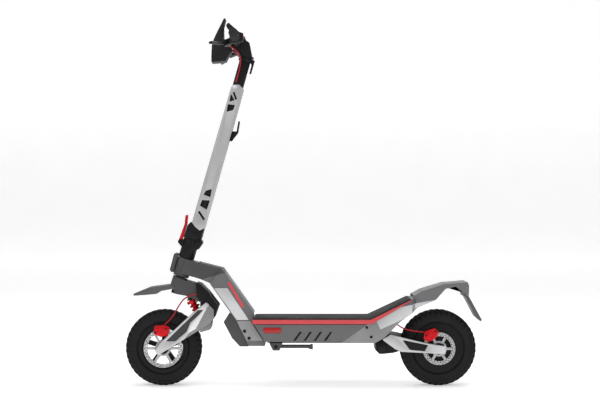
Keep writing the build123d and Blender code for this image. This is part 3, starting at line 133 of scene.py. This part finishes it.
# ---- Mesh helpers -------------------------------------------------------------------------
def new_object(name, mesh):
    obj = bpy.data.objects.new(name, mesh)
    bpy.context.scene.collection.objects.link(obj)
    return obj


def apply_modifiers(obj):
    """Replaces an object's mesh with its modified one."""
    graph = bpy.context.evaluated_depsgraph_get()
    mesh = bpy.data.meshes.new_from_object(obj.evaluated_get(graph))
    obj.modifiers.clear()
    obj.data = mesh


def smooth(obj, angle=35):
    """Shades round stretches smooth and keeps edges sharper than the angle."""
    mesh = obj.data
    mesh.polygons.foreach_set("use_smooth", [True] * len(mesh.polygons))
    mesh.set_sharp_from_angle(angle=math.radians(angle))
    mesh.update()


def round_edges(obj, width, segments=2, angle=28):
    """Rounds every edge sharper than the angle, by a width in millimetres."""
    bevel = obj.modifiers.new("rounding", "BEVEL")
    bevel.width = width * MM
    bevel.segments = segments
    bevel.limit_method = "ANGLE"
    bevel.angle_limit = math.radians(angle)
    bevel.use_clamp_overlap = True
    apply_modifiers(obj)


def refined(node, width):
    """A copy of a CAD node with rounded edges, which stands for it."""
    mesh = NODES[node].data.copy()
    work = bmesh.new()
    work.from_mesh(mesh)
    bmesh.ops.remove_doubles(work, verts=work.verts, dist=0.00002)
    bmesh.ops.dissolve_limit(
        work, angle_limit=math.radians(1.0), verts=work.verts, edges=work.edges,
    )
    work.to_mesh(mesh)
    work.free()
    obj = new_object("shaped_" + node, mesh)
    round_edges(obj, width)
    smooth(obj)
    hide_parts(node)
    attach(obj, NODES[node]["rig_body"])
    return obj


def mesh_from(name, work):
    """An object from a finished bmesh, with its normals made consistent."""
    bmesh.ops.recalc_face_normals(work, faces=work.faces)
    mesh = bpy.data.meshes.new(name)
    work.to_mesh(mesh)
    work.free()
    return new_object(name, mesh)


def prism_into(work, points, y_low, y_high):
    """Adds a side-view polygon, given in X and Z, between two Y faces."""
    low = [work.verts.new((x * MM, y_low * MM, z * MM)) for x, z in points]
    high = [work.verts.new((x * MM, y_high * MM, z * MM)) for x, z in points]
    count = len(points)
    work.faces.new(low)
    work.faces.new(high[::-1])
    for index in range(count):
        after = (index + 1) % count
        work.faces.new((low[index], high[index], high[after], low[after]))


def prisms(name, outlines, spans, body, look, width=0.6):
    """One piece of several flat outlines, each made at every Y span, with rounded edges."""
    work = bmesh.new()
    for points in outlines:
        for y_low, y_high in spans:
            prism_into(work, points, y_low, y_high)
    obj = mesh_from(name, work)
    round_edges(obj, width)
    smooth(obj)
    return finish_piece(obj, body, look)


def lathed(name, centre, profile, look, body, segments=96, angle=35):
    """A profile of (Y, radius) pairs, closed, turned about a wheel's axis."""
    work = bmesh.new()
    rings = []
    for index in range(segments):
        turn = 2 * math.pi * index / segments
        rings.append([
            work.verts.new((
                (centre[0] + radius * math.cos(turn)) * MM, y * MM,
                (centre[1] + radius * math.sin(turn)) * MM,
            ))
            for y, radius in profile
        ])
    for ring, after in zip(rings, rings[1:] + rings[:1]):
        for index in range(len(profile)):
            following = (index + 1) % len(profile)
            work.faces.new((ring[index], ring[following], after[following], after[index]))
    obj = mesh_from(name, work)
    smooth(obj, angle)
    return finish_piece(obj, body, look)


def tube(name, points, radius, look, body=None):
    """A round hose along a smooth spline through given points, in millimetres."""
    data = bpy.data.curves.new(name, "CURVE")
    data.dimensions = "3D"
    data.bevel_depth = radius * MM
    data.bevel_resolution = 4
    data.resolution_u = 12
    data.use_fill_caps = True
    spline = data.splines.new("NURBS")
    spline.points.add(len(points) - 1)
    for point, place in zip(spline.points, points):
        point.co = (place[0] * MM, place[1] * MM, place[2] * MM, 1)
    spline.order_u = 3
    spline.use_endpoint_u = True
    obj = new_object(name, data)
    graph = bpy.context.evaluated_depsgraph_get()
    mesh = bpy.data.meshes.new_from_object(obj.evaluated_get(graph))
    bpy.data.objects.remove(obj)
    made = new_object(name, mesh)
    smooth(made, 60)
    return finish_piece(made, body, look)


def paint(obj, look):
    """Gives the whole object one look's material."""
    material, slot = LOOKS[look]
    obj.data.materials.clear()
    obj.data.materials.append(material)
    for polygon in obj.data.polygons:
        polygon.material_index = 0


def finish_piece(obj, body, look):
    """Paints a new piece and lets it ride on its body, if it has just one."""
    paint(obj, look)
    if body:
        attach(obj, body)
    return obj


def second_look(obj, look, keep_first):
    """Gives another look to the polygons whose middle, in millimetres, fails the test."""
    obj.data.materials.append(LOOKS[look][0])
    index = len(obj.data.materials) - 1
    for polygon in obj.data.polygons:
        middle = polygon.center / MM
        if not keep_first(middle):
            polygon.material_index = index


def cut_across(node, place, direction):
    """Splits a refined node's faces along a side-view line, so two looks can meet there."""
    work = bmesh.new()
    work.from_mesh(node.data)
    everything = work.verts[:] + work.edges[:] + work.faces[:]
    bmesh.ops.bisect_plane(
        work, geom=everything, plane_co=(place[0] * MM, 0, place[1] * MM),
        plane_no=(direction[0], 0, direction[1]),
    )
    work.to_mesh(node.data)
    work.free()
    smooth(node)


# ---- Materials ----------------------------------------------------------------------------
def shader(name):
    material = bpy.data.materials.new(name)
    material.use_nodes = True
    tree = material.node_tree
    return material, tree, tree.nodes["Principled BSDF"]


def object_space(tree, stretch=(1, 1, 1), turn=(0, 0, 0)):
    """Object coordinates, stretched and turned."""
    source = tree.nodes.new("ShaderNodeTexCoord")
    mapping = tree.nodes.new("ShaderNodeMapping")
    mapping.inputs["Scale"].default_value = stretch
    mapping.inputs["Rotation"].default_value = [math.radians(angle) for angle in turn]
    tree.links.new(source.outputs["Object"], mapping.inputs["Vector"])
    return mapping.outputs["Vector"]


def noise(tree, space, scale, detail=2.0):
    node = tree.nodes.new("ShaderNodeTexNoise")
    node.inputs["Scale"].default_value = scale
    node.inputs["Detail"].default_value = detail
    tree.links.new(space, node.inputs["Vector"])
    return node.outputs["Fac"]


def cells(tree, space, scale):
    node = tree.nodes.new("ShaderNodeTexVoronoi")
    node.inputs["Scale"].default_value = scale
    tree.links.new(space, node.inputs["Vector"])
    return node.outputs["Distance"]


def spread(tree, value, low, high, source=(0.3, 0.7)):
    """Maps a texture's middle range to a low and a high value."""
    node = tree.nodes.new("ShaderNodeMapRange")
    node.inputs["From Min"].default_value = source[0]
    node.inputs["From Max"].default_value = source[1]
    node.inputs["To Min"].default_value = low
    node.inputs["To Max"].default_value = high
    tree.links.new(value, node.inputs["Value"])
    return node.outputs["Result"]


def shaded(color, factor):
    return tuple(min(1.0, channel * factor) for channel in color) + (1.0,)


def ramp(tree, value, stops):
    """A colour ramp over a texture: pairs of place and colour."""
    node = tree.nodes.new("ShaderNodeValToRGB")
    elements = node.color_ramp.elements
    while len(elements) < len(stops):
        elements.new(0.5)
    for element, (place, color) in zip(elements, stops):
        element.position = place
        element.color = color
    tree.links.new(value, node.inputs["Fac"])
    return node.outputs["Color"]


def relief(tree, value, distance, strength=1.0, below=None):
    """A bump from a texture, on top of another one if given."""
    node = tree.nodes.new("ShaderNodeBump")
    node.inputs["Strength"].default_value = strength
    node.inputs["Distance"].default_value = distance
    tree.links.new(value, node.inputs["Height"])
    if below is not None:
        tree.links.new(below, node.inputs["Normal"])
    return node.outputs["Normal"]


def surface(
    name, color, roughness, metallic=0.0, vary=0.12, grain=1400.0, depth=0.00004,
    stretch=(1, 1, 1), coat=0.0, gloss=0.3,
):
    """A coated or moulded surface: fine grain in relief, and broad wear in tint and sheen."""
    material, tree, principled = shader(name)
    space = object_space(tree, stretch)
    plain = object_space(tree)
    fine = noise(tree, space, grain, 3.0)
    broad = noise(tree, plain, 9.0, 5.0)
    tint = ramp(tree, broad, [(0.3, shaded(color, 1 - vary)), (0.7, shaded(color, 1 + vary))])
    tree.links.new(tint, principled.inputs["Base Color"])
    sheen = spread(tree, noise(tree, plain, 24.0, 6.0), roughness - 0.07, roughness + 0.09)
    tree.links.new(sheen, principled.inputs["Roughness"])
    tree.links.new(relief(tree, fine, depth), principled.inputs["Normal"])
    principled.inputs["Metallic"].default_value = metallic
    principled.inputs["Specular IOR Level"].default_value = gloss
    principled.inputs["Coat Weight"].default_value = coat
    principled.inputs["Coat Roughness"].default_value = 0.2
    return material


def hatched(name, color, line, pitch, centre_x, lean=0.62):
    """A moulded panel with fine diagonal ribs that lean away from a middle line; the rib crests are
    painted lighter and the grooves darker, as painted highlight and painted shade.
    """
    material, tree, principled = shader(name)
    source = tree.nodes.new("ShaderNodeTexCoord")
    split = tree.nodes.new("ShaderNodeSeparateXYZ")
    tree.links.new(source.outputs["Object"], split.inputs["Vector"])
    shift = math_node(tree, "SUBTRACT", split.outputs["X"], centre_x)
    mirrored = math_node(tree, "ABSOLUTE", shift)
    rise = math_node(tree, "MULTIPLY", split.outputs["Z"], lean)
    across = math_node(tree, "SUBTRACT", mirrored, rise)
    turns = math_node(tree, "MULTIPLY", across, 2 * math.pi / pitch)
    wave = math_node(tree, "SINE", turns)
    height = spread(tree, wave, 0.0, 1.0, (-0.5, 0.5))
    # The colour follows the rib height: painted highlight on the crests, painted shade in the grooves.
    tint = ramp(tree, height, [(0.15, color), (0.85, line)])
    tree.links.new(tint, principled.inputs["Base Color"])
    plain = object_space(tree)
    sheen = spread(tree, noise(tree, plain, 30.0, 5.0), 0.42, 0.6)
    tree.links.new(sheen, principled.inputs["Roughness"])
    grain = relief(tree, noise(tree, plain, 1500.0), 0.00003)
    tree.links.new(relief(tree, height, 0.0006, 0.8, grain), principled.inputs["Normal"])
    return material


def math_node(tree, operation, first, second=None):
    """A math node on one output and, if given, a number or another output."""
    node = tree.nodes.new("ShaderNodeMath")
    node.operation = operation
    tree.links.new(first, node.inputs[0])
    if isinstance(second, (int, float)):
        node.inputs[1].default_value = second
    elif second is not None:
        tree.links.new(second, node.inputs[1])
    return node.outputs["Value"]


def gritty(name, color, scale, depth):
    """A grip surface: hard grains in a dark binder."""
    material, tree, principled = shader(name)
    space = object_space(tree)
    grains = cells(tree, space, scale)
    worn = noise(tree, space, 11.0, 5.0)
    tint = ramp(tree, grains, [(0.1, shaded(color, 1.9)), (0.6, shaded(color, 0.7))])
    tree.links.new(tint, principled.inputs["Base Color"])
    tree.links.new(spread(tree, worn, 0.75, 0.95), principled.inputs["Roughness"])
    tree.links.new(relief(tree, grains, depth), principled.inputs["Normal"])
    return material


def rubber(name, color, roughness):
    """Tyre rubber: a fine skin, with dust lying in broad patches."""
    material, tree, principled = shader(name)
    space = object_space(tree)
    dust = noise(tree, space, 16.0, 8.0)
    tint = ramp(tree, dust, [(0.35, shaded(color, 0.8)), (0.75, shaded(color, 1.7))])
    tree.links.new(tint, principled.inputs["Base Color"])
    tree.links.new(spread(tree, dust, roughness - 0.1, roughness + 0.12), principled.inputs["Roughness"])
    tree.links.new(relief(tree, noise(tree, space, 700.0, 4.0), 0.0001), principled.inputs["Normal"])
    principled.inputs["Specular IOR Level"].default_value = 0.2
    return material


def clear(name, color, roughness, transmission):
    """A clear cover with light surface wear."""
    material, tree, principled = shader(name)
    space = object_space(tree)
    tint = ramp(tree, noise(tree, space, 20.0), [(0.3, shaded(color, 0.95)), (0.7, shaded(color, 1.05))])
    tree.links.new(tint, principled.inputs["Base Color"])
    wear = spread(tree, noise(tree, space, 60.0, 6.0), roughness, roughness + 0.06)
    tree.links.new(wear, principled.inputs["Roughness"])
    principled.inputs["Transmission Weight"].default_value = transmission
    principled.inputs["IOR"].default_value = 1.49
    return material


BRUSHED = (1, 1, 12)
LOOKS = {
    "silver": (
        surface("silver_coat", (0.60, 0.60, 0.61), roughness=0.36, metallic=0.55, vary=0.06, grain=1900),
        "silver_alloy",
    ),
    "stem_silver": (
        surface("stem_silver", (0.47, 0.47, 0.475), roughness=0.38, metallic=0.5, vary=0.06, grain=1900),
        "silver_alloy",
    ),
    # The front arm's facet: a lit copy of the silver, painted highlight.
    "painted_highlight": (
        surface("painted_highlight_silver", (0.80, 0.80, 0.81), roughness=0.34, metallic=0.4, vary=0.04, grain=1900),
        "silver_alloy",
    ),
    "arm_grey": (
        surface("arm_grey", (0.26, 0.26, 0.265), roughness=0.44, metallic=0.4, vary=0.08),
        "silver_alloy",
    ),
    # The tail's lower faceted faces: a shaded copy of the silver, painted shade.
    "tail_painted_shade": (
        surface("tail_lower_painted_shade", (0.27, 0.27, 0.275), roughness=0.46, metallic=0.3, vary=0.08),
        "silver_alloy",
    ),
    "tail_dark": (
        surface("tail_dark", (0.15, 0.15, 0.155), roughness=0.5, metallic=0.1, vary=0.08),
        "silver_alloy",
    ),
    "mid_grey": (
        surface("mid_grey", (0.16, 0.16, 0.165), roughness=0.5, metallic=0.2, vary=0.08),
        "dark_alloy",
    ),
    "foot_grey": (
        surface("foot_grey", (0.33, 0.33, 0.335), roughness=0.46, metallic=0.3, vary=0.08),
        "silver_alloy",
    ),
    "dark": (
        surface("dark_coat", (0.072, 0.072, 0.074), roughness=0.52, metallic=0.1, vary=0.1),
        "dark_alloy",
    ),
    "fender": (surface("fender_grey", (0.10, 0.10, 0.103), roughness=0.5, vary=0.08), "grey_plastic"),
    "tail_grey": (surface("tail_grey", (0.16, 0.16, 0.165), roughness=0.5, vary=0.08), "grey_plastic"),
    "black": (
        surface("black_coat", (0.007, 0.007, 0.008), roughness=0.45, vary=0.2, gloss=0.2),
        "black_alloy",
    ),
    "black_plastic": (
        surface("black_moulding", (0.009, 0.009, 0.01), roughness=0.5, vary=0.2, grain=1100, gloss=0.2),
        "black_plastic",
    ),
    "inlay": (
        surface("inlay_grey", (0.05, 0.05, 0.052), roughness=0.6, vary=0.15, grain=900),
        "black_plastic",
    ),
    "rim": (
        surface("rim_black", (0.007, 0.007, 0.008), roughness=0.42, vary=0.2, gloss=0.2),
        "black_alloy",
    ),
    "steel": (
        surface(
            "steel", (0.42, 0.42, 0.42), roughness=0.28, metallic=0.9, vary=0.08, grain=1600,
            depth=0.00003, stretch=BRUSHED,
        ),
        "steel",
    ),
    "bolt": (
        surface("bolt_black", (0.02, 0.02, 0.02), roughness=0.32, metallic=0.8, vary=0.15),
        "steel",
    ),
    "red_metal": (
        surface(
            "red_anodised", (0.62, 0.012, 0.018), roughness=0.3, metallic=0.65, vary=0.1, grain=1900,
        ),
        "red_alloy",
    ),
    "red_trim": (
        surface("red_trim", (0.66, 0.075, 0.085), roughness=0.42, vary=0.06, grain=1500),
        "red_trim",
    ),
    "red_hose": (surface("red_hose", (0.36, 0.012, 0.02), roughness=0.36, grain=2000), "red_trim"),
    # Ribbed panel whose lighter second colour is a painted highlight on the rib crests.
    "panel": (
        hatched("hatched_panel_painted_shading", (0.075, 0.075, 0.077, 1), (0.20, 0.20, 0.205, 1), 0.0062, -0.012),
        "panel_plastic",
    ),
    "grip_tape": (gritty("grip_tape", (0.009, 0.0095, 0.0095), 700.0, 0.0003), "black_rubber"),
    "grip_rubber": (rubber("grip_rubber", (0.02, 0.02, 0.02), 0.75), "black_rubber"),
    "tyre": (rubber("tyre_rubber", (0.010, 0.010, 0.011), 0.7), "tyre_rubber"),
    "lens": (clear("clear_lens", (0.9, 0.92, 0.94), 0.08, 0.9), "clear"),
    "lamp_red": (clear("lamp_red", (0.55, 0.01, 0.012), 0.15, 0.25), "lamp_plastic"),
    "pack": (surface("pack_blue", (0.03, 0.06, 0.12), roughness=0.5), "pack"),
}

# ---- CAD nodes with rounded edges ---------------------------------------------------------
REFINED = {
    "front_rim": (1.2, "rim"), "rear_motor": (1.2, "rim"),
    "front_rotor": (0.3, "steel"), "rear_rotor": (0.3, "steel"),
    "front_axle": (1.2, "bolt"), "rear_axle": (1.2, "bolt"),
    "front_arms": (2.0, "silver"), "front_caliper": (1.6, "red_metal"),
    "rear_caliper": (1.6, "red_metal"), "shock_body": (0.8, "red_metal"),
    "shock_rod": (0.6, "steel"), "fork_crown": (2.0, "dark"), "fork_yoke": (2.5, "black"),
    "steering_column": (1.2, "black"), "fork_pins": (1.0, "bolt"),
    "latch_lever": (1.2, "red_metal"), "front_fender": (1.6, "fender"), "neck": (2.5, "mid_grey"),
    "leg_covers": (1.0, "silver"), "front_covers": (3.0, "dark"),
    "deck_chassis": (1.5, "black"), "deck_lid": (1.5, "black_plastic"),
    "deck_mat": (3.0, "grip_tape"), "side_panels": (0.8, "panel"),
    "edge_trims": (0.8, "red_trim"), "tail_casting": (2.0, "silver"),
    "rear_fender": (2.0, "tail_grey"), "mud_flap": (1.4, "fender"),
    "reflectors": (0.8, "lamp_red"), "cockpit_hoses": (0.2, "red_hose"), "pivot_housing": (1.5, "black"),
    "rear_arms": (1.2, "black"), "rear_arm_covers": (1.6, "silver"),
    "frame_pins": (0.6, "bolt"),
    "kickstand_bracket": (1.0, "dark"), "kickstand": (1.0, "dark"),
    "stem_plates": (0.8, "stem_silver"), "stem_tube": (0.8, "black"),
    "fold_knuckle": (2.0, "black"), "stem_hooks": (1.0, "black_plastic"),
    "stem_head": (2.5, "black"), "handlebar": (0.6, "black"), "grips": (1.0, "grip_rubber"),
    "brake_perches": (1.2, "black"), "brake_lever_left": (1.0, "black"),
    "brake_lever_right": (1.0, "black"), "bar_controls": (1.2, "black_plastic"),
    "throttle_lever": (0.8, "black_plastic"), "horn_button": (0.4, "red_trim"),
    "mode_button": (0.4, "inlay"), "display_pod": (1.6, "black_plastic"),
    "headlight_housing": (2.0, "black_plastic"),
}


def build_refined():
    """Every hard CAD node, with its edges rounded and its look on."""
    made = {}
    for node, (width, look) in REFINED.items():
        made[node] = refined(node, width)
        paint(made[node], look)
    return made


build_camera()
build_lights()
shaped = build_refined()
for inner, look in (("headset_bearings", "steel"), ("battery_and_controller", "pack")):
    paint(NODES[inner], look)
paint(NODES["clear_covers"], "lens")


# ---- Wheels -------------------------------------------------------------------------------
CARCASS = [
    (-20, 84), (-29, 85), (-31, 92), (-36.5, 95.5), (-38, 97), (-37.6, 99), (-39.6, 110),
    (-37.5, 120), (-33, 126.5), (-24, 130), (0, 131), (24, 130), (33, 126.5), (37.5, 120),
    (39.6, 110), (37.6, 99), (38, 97), (36.5, 95.5), (31, 92), (29, 85), (20, 84), (24, 100),
    (26, 116), (0, 121), (-26, 116), (-24, 100),
]
MIDDLE_BLOCK = [(-11, 129), (-10, 137.2), (-1.5, 137.2), (-1, 129)]
SIDE_BLOCK = [(-25, 128), (-24.5, 137.0), (-14.5, 137.2), (-14, 129)]
SHOULDER_BLOCK = [(-39.5, 117), (-38.6, 125), (-29, 135.5), (-27, 128)]
TREAD = [(MIDDLE_BLOCK, 0.66, 0.0), (SIDE_BLOCK, 0.6, 0.5), (SHOULDER_BLOCK, 0.56, 0.0)]
BLOCKS = 40


def ring_blocks(work, centre, section, arc, offset, mirror):
    """Adds tread blocks round a tyre, from a section of (Y, radius) pairs swept by an arc."""
    for index in range(BLOCKS):
        turn = 2 * math.pi * (index + offset) / BLOCKS
        sides = []
        for edge in (turn - arc / 2, turn + arc / 2):
            sides.append([
                work.verts.new((
                    (centre[0] + radius * math.cos(edge)) * MM, mirror * y * MM,
                    (centre[1] + radius * math.sin(edge)) * MM,
                ))
                for y, radius in section
            ])
        first, second = sides
        work.faces.new(first)
        work.faces.new(second[::-1])
        for corner in range(4):
            after = (corner + 1) % 4
            work.faces.new((first[corner], second[corner], second[after], first[after]))


def build_tyre(centre, node, body):
    """A knobbed tyre: its carcass, staggered tread blocks and shoulder blocks."""
    carcass = lathed("carcass_" + node, centre, CARCASS, "tyre", body, 120, 40)
    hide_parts(node)
    work = bmesh.new()
    pitch = 2 * math.pi / BLOCKS
    for mirror, offset in ((1, 0.0), (-1, 0.5)):
        for section, share, shift in TREAD:
            ring_blocks(work, centre, section, pitch * share, offset + shift, mirror)
    tread = mesh_from("tread_" + node, work)
    round_edges(tread, 0.5, 1)
    smooth(tread)
    finish_piece(tread, body, "tyre")


build_tyre(FRONT_AXLE, "front_tyre", "front_wheel")
build_tyre(REAR_AXLE, "rear_tyre", "rear_wheel")


RIB = [(64, -1.5), (84, -1.5), (84, 1.5), (64, 1.5)]
RIBS = 30
RIB_FOOT = 33
RIB_FACE = 36


def motor_ribs():
    """Radial cooling ribs on both cheeks of the hub motor."""
    work = bmesh.new()
    for index in range(RIBS):
        turn = 2 * math.pi * index / RIBS
        along = Vector((math.cos(turn), 0, math.sin(turn)))
        across = Vector((-math.sin(turn), 0, math.cos(turn)))
        middle = Vector((REAR_AXLE[0], 0, REAR_AXLE[1]))
        for side in (-1, 1):
            low = [middle + along * r + across * t for r, t in RIB]
            inner = [work.verts.new((v + Vector((0, side * RIB_FOOT, 0))) * MM) for v in low]
            outer = [work.verts.new((v + Vector((0, side * RIB_FACE, 0))) * MM) for v in low]
            work.faces.new(inner)
            work.faces.new(outer[::-1])
            for corner in range(4):
                after = (corner + 1) % 4
                work.faces.new((inner[corner], outer[corner], outer[after], inner[after]))
    finish_piece(mesh_from("motor_ribs", work), "rear_wheel", "rim")


motor_ribs()


# ---- Springs and hoses --------------------------------------------------------------------
COIL_TURNS = 5
COIL_STEPS = 16
COIL_RADIUS = 15.4
COIL_WIRE = 3.2
HOSE_RADIUS = 2.5


def to_3d(point, y=0.0):
    return Vector((point[0], y, point[1]))


def build_spring():
    """A coil spring between its seats."""
    top, foot = to_3d(SHOCK_TOP), to_3d(SHOCK_FOOT)
    along = (foot - top).normalized()
    side = Vector((0, 1, 0))
    out = along.cross(side)
    reach = [(vertex.co / MM - top).dot(along) for vertex in NODES["shock_spring"].data.vertices]
    start, end = min(reach) + COIL_WIRE, max(reach) - COIL_WIRE
    steps = COIL_STEPS * COIL_TURNS
    places = []
    for step in range(steps + 1):
        turn = 2 * math.pi * step / COIL_STEPS
        reach_now = start + (end - start) * step / steps
        ring = out * math.cos(turn) + side * math.sin(turn)
        places.append(top + along * reach_now + ring * COIL_RADIUS)
    spring = tube("coil_spring", places, COIL_WIRE, "red_metal")
    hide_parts("shock_spring")
    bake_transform(spring)


def offsets(centre, points):
    return [(centre[0] + x, y, centre[1] + z) for x, y, z in points]


FRONT_RUN = offsets(FRONT_AXLE, [
    (121, -45, 197), (84, -46, 189), (57, -46, 155), (35, -46, 110), (6, -44, 86.6),
])
REAR_RUN = offsets(REAR_AXLE, [
    (-151, -60, 88.5), (-135, -60, 75), (-102, -60, 66), (-70, -57, 62), (-55.5, -52, 59.5),
])


def build_hoses():
    """The two brake hoses that cross a suspension joint."""
    for name, route, bodies in (
        ("front_hose", FRONT_RUN, ("fork", "front_arm")),
        ("rear_hose", REAR_RUN, ("frame", "rear_arm")),
    ):
        piece = tube("run_" + name, route, HOSE_RADIUS, "red_hose")
        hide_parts(name)
        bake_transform(piece)


build_spring()
build_hoses()


# ---- Two-tone castings, painted shade and highlight on them, and inlays -------------------
def shifted(centre, points):
    return [(centre[0] + x, centre[1] + z) for x, z in points]


def side_of(first, second):
    """A test that holds for polygons left of a side-view line, seen with X right and Z up."""
    run = (second[0] - first[0], second[1] - first[1])
    return lambda middle: run[0] * (middle.z - first[1]) - run[1] * (middle.x - first[0]) > 0


def normal_of(first, second):
    run = (second[0] - first[0], second[1] - first[1])
    length = math.hypot(*run)
    return (-run[1] / length, run[0] / length)


def two_tone(node, first, second, look):
    """Splits a node along a line and gives the part to the line's right another look."""
    cut_across(shaped[node], first, normal_of(first, second))
    second_look(shaped[node], look, side_of(first, second))


ARM_LINE = shifted(FRONT_PIVOT, [(-68, -66), (4, 34)])
ARM_INNER_FACE = 51.9
two_tone("front_arms", *ARM_LINE, "arm_grey")
second_look(shaped["front_arms"], "black", lambda middle: abs(middle.y) > ARM_INNER_FACE)

SLANT = ((265.6, 227.4), (284.6, 186.5))
BAND = ((284.7, 216.6), (372, 254.9))
TAIL_TOP = ((388, 298.3), (464.6, 311.9))
for line in (SLANT, BAND, TAIL_TOP):
    cut_across(shaped["tail_casting"], line[0], normal_of(*line))
behind_slant, over_band, over_top = side_of(*SLANT), side_of(*BAND), side_of(*TAIL_TOP)
# Below the band and ahead of the slant the silver is painted darker: painted shade on the lower faceted
# faces.
second_look(shaped["tail_casting"], "tail_painted_shade", lambda m: behind_slant(m) and over_band(m))
second_look(shaped["tail_casting"], "tail_dark", lambda m: not over_top(m))

NECK_LINE = ((-294, 408.2), (-346.6, 392.7))
LEG_COVER_FOOT = HEAD[1] - 156.5
two_tone("neck", *NECK_LINE, "dark")
second_look(shaped["leg_covers"], "foot_grey", lambda middle: middle.z > LEG_COVER_FOOT)

FRONT_INLAY = shifted(FRONT_PIVOT, [
    (-147, -92), (-113, -91), (-73, -57), (-60, -25), (-28, 4), (-12, 21), (-33, 19),
])
FACET = shifted(FRONT_PIVOT, [(-11, 23), (0, 28), (-40, -47), (-68, -63), (-59, -34), (-25, 7)])
REAR_INLAY = shifted(REAR_PIVOT, [(73, 29), (164, 10.5), (152, -10.5), (99, -5.5)])
prisms("front_inlays", [FRONT_INLAY], [(-70.6, -69.1), (69.1, 70.6)], "front_arm", "inlay", 0.3)
# Thin sheets in the lighter silver over the arm's sides: a painted highlight where the facet catches the
# light.
prisms("arm_facets", [FACET], [(-72.5, -71.9), (71.9, 72.5)], "front_arm", "painted_highlight", 0.2)
prisms("rear_inlays", [REAR_INLAY], [(-74.6, -73.1), (73.1, 74.6)], "rear_arm", "black_plastic", 0.3)

RED_STRIP = shifted(HEAD, [(174, -23), (181, -16), (234, -106), (227, -113)])
prisms("leg_strips", [RED_STRIP], [(-55.2, -53.9), (53.9, 55.2)], "frame", "red_trim", 0.3)
VENTS = [
    [(foot, 171), (foot + 9, 171), (foot + 32, 203), (foot + 23, 203)]
    for foot in (-39.0, -2.7, 33.6, 69.9)
]
prisms("deck_vents", VENTS, [(-95.6, -94.9), (94.9, 95.6)], "frame", "black_plastic", 0.2)


# ---- Caliper details ----------------------------------------------------------------------
CAP = [(0.0, 0.3), (0.0, 9.5), (-2.6, 9.5), (-3.2, 8.8), (-3.2, 6.2), (-2.2, 5.6), (-2.2, 0.3)]
BOLT = [(0.0, 0.3), (0.0, 3.6), (-3.0, 3.6), (-3.6, 3.0), (-3.6, 1.8), (-2.0, 1.5), (-2.0, 0.3)]


def caliper_details(name, centre, face, body, cap, bolts):
    """The round piston cover and the bridge bolts on a caliper's outer face."""
    at = (centre[0] + cap[0], centre[1] + cap[1])
    lathed(name + "_cap", at, [(face + 0.2 + y, r) for y, r in CAP], "red_metal", body, 40)
    for number, (x, z) in enumerate(bolts):
        place = (centre[0] + x, centre[1] + z)
        profile = [(face + 0.2 + y, r) for y, r in BOLT]
        lathed(f"{name}_bolt_{number}", place, profile, "bolt", body, 20)


caliper_details("front_caliper", FRONT_AXLE, -52.0, "front_arm", (-10, 65), [(-26, 58), (12, 72)])
caliper_details("rear_caliper", REAR_AXLE, -56.0, "rear_arm", (-26, 49), [(-46, 48), (-12, 63)])


# ---- Floor, in metres ---------------------------------------------------------------------
FLOOR_NEAR = -14.0
FLOOR_FAR = 9.0
FLOOR_HALF = 24.0
SWEEP_RADIUS = 2.0
SWEEP_STEPS = 12
BACKDROP_TOP = 12.0
FLOOR_GLOW = 0.42


def floor_line():
    """The floor's side view in Y and Z, with a quarter circle up to the backdrop."""
    line = [(FLOOR_NEAR, 0.0), (FLOOR_FAR, 0.0)]
    for step in range(1, SWEEP_STEPS + 1):
        turn = math.pi / 2 * step / SWEEP_STEPS
        rise = SWEEP_RADIUS * (1 - math.cos(turn))
        line.append((FLOOR_FAR + SWEEP_RADIUS * math.sin(turn), rise))
    line.append((FLOOR_FAR + SWEEP_RADIUS, BACKDROP_TOP))
    return line


def floor_look():
    """A white that glows a little, so that it stays pale away from the lamps."""
    material, tree, principled = shader("floor_white")
    shade = noise(tree, object_space(tree), 3.0)
    tint = ramp(tree, shade, [(0.3, (0.93, 0.93, 0.93, 1)), (0.7, (0.95, 0.95, 0.95, 1))])
    tree.links.new(tint, principled.inputs["Base Color"])
    tree.links.new(tint, principled.inputs["Emission Color"])
    principled.inputs["Emission Strength"].default_value = FLOOR_GLOW
    principled.inputs["Roughness"].default_value = 0.8
    return material


def build_floor():
    """A pale floor that sweeps up into a backdrop, which isn't part of the object."""
    line = floor_line()
    work = bmesh.new()
    left = [work.verts.new((-FLOOR_HALF, y, z)) for y, z in line]
    right = [work.verts.new((FLOOR_HALF, y, z)) for y, z in line]
    for index in range(len(line) - 1):
        work.faces.new((left[index], right[index], right[index + 1], left[index + 1]))
    floor = mesh_from("floor", work)
    smooth(floor, 60)
    floor.data.materials.append(floor_look())


build_floor()
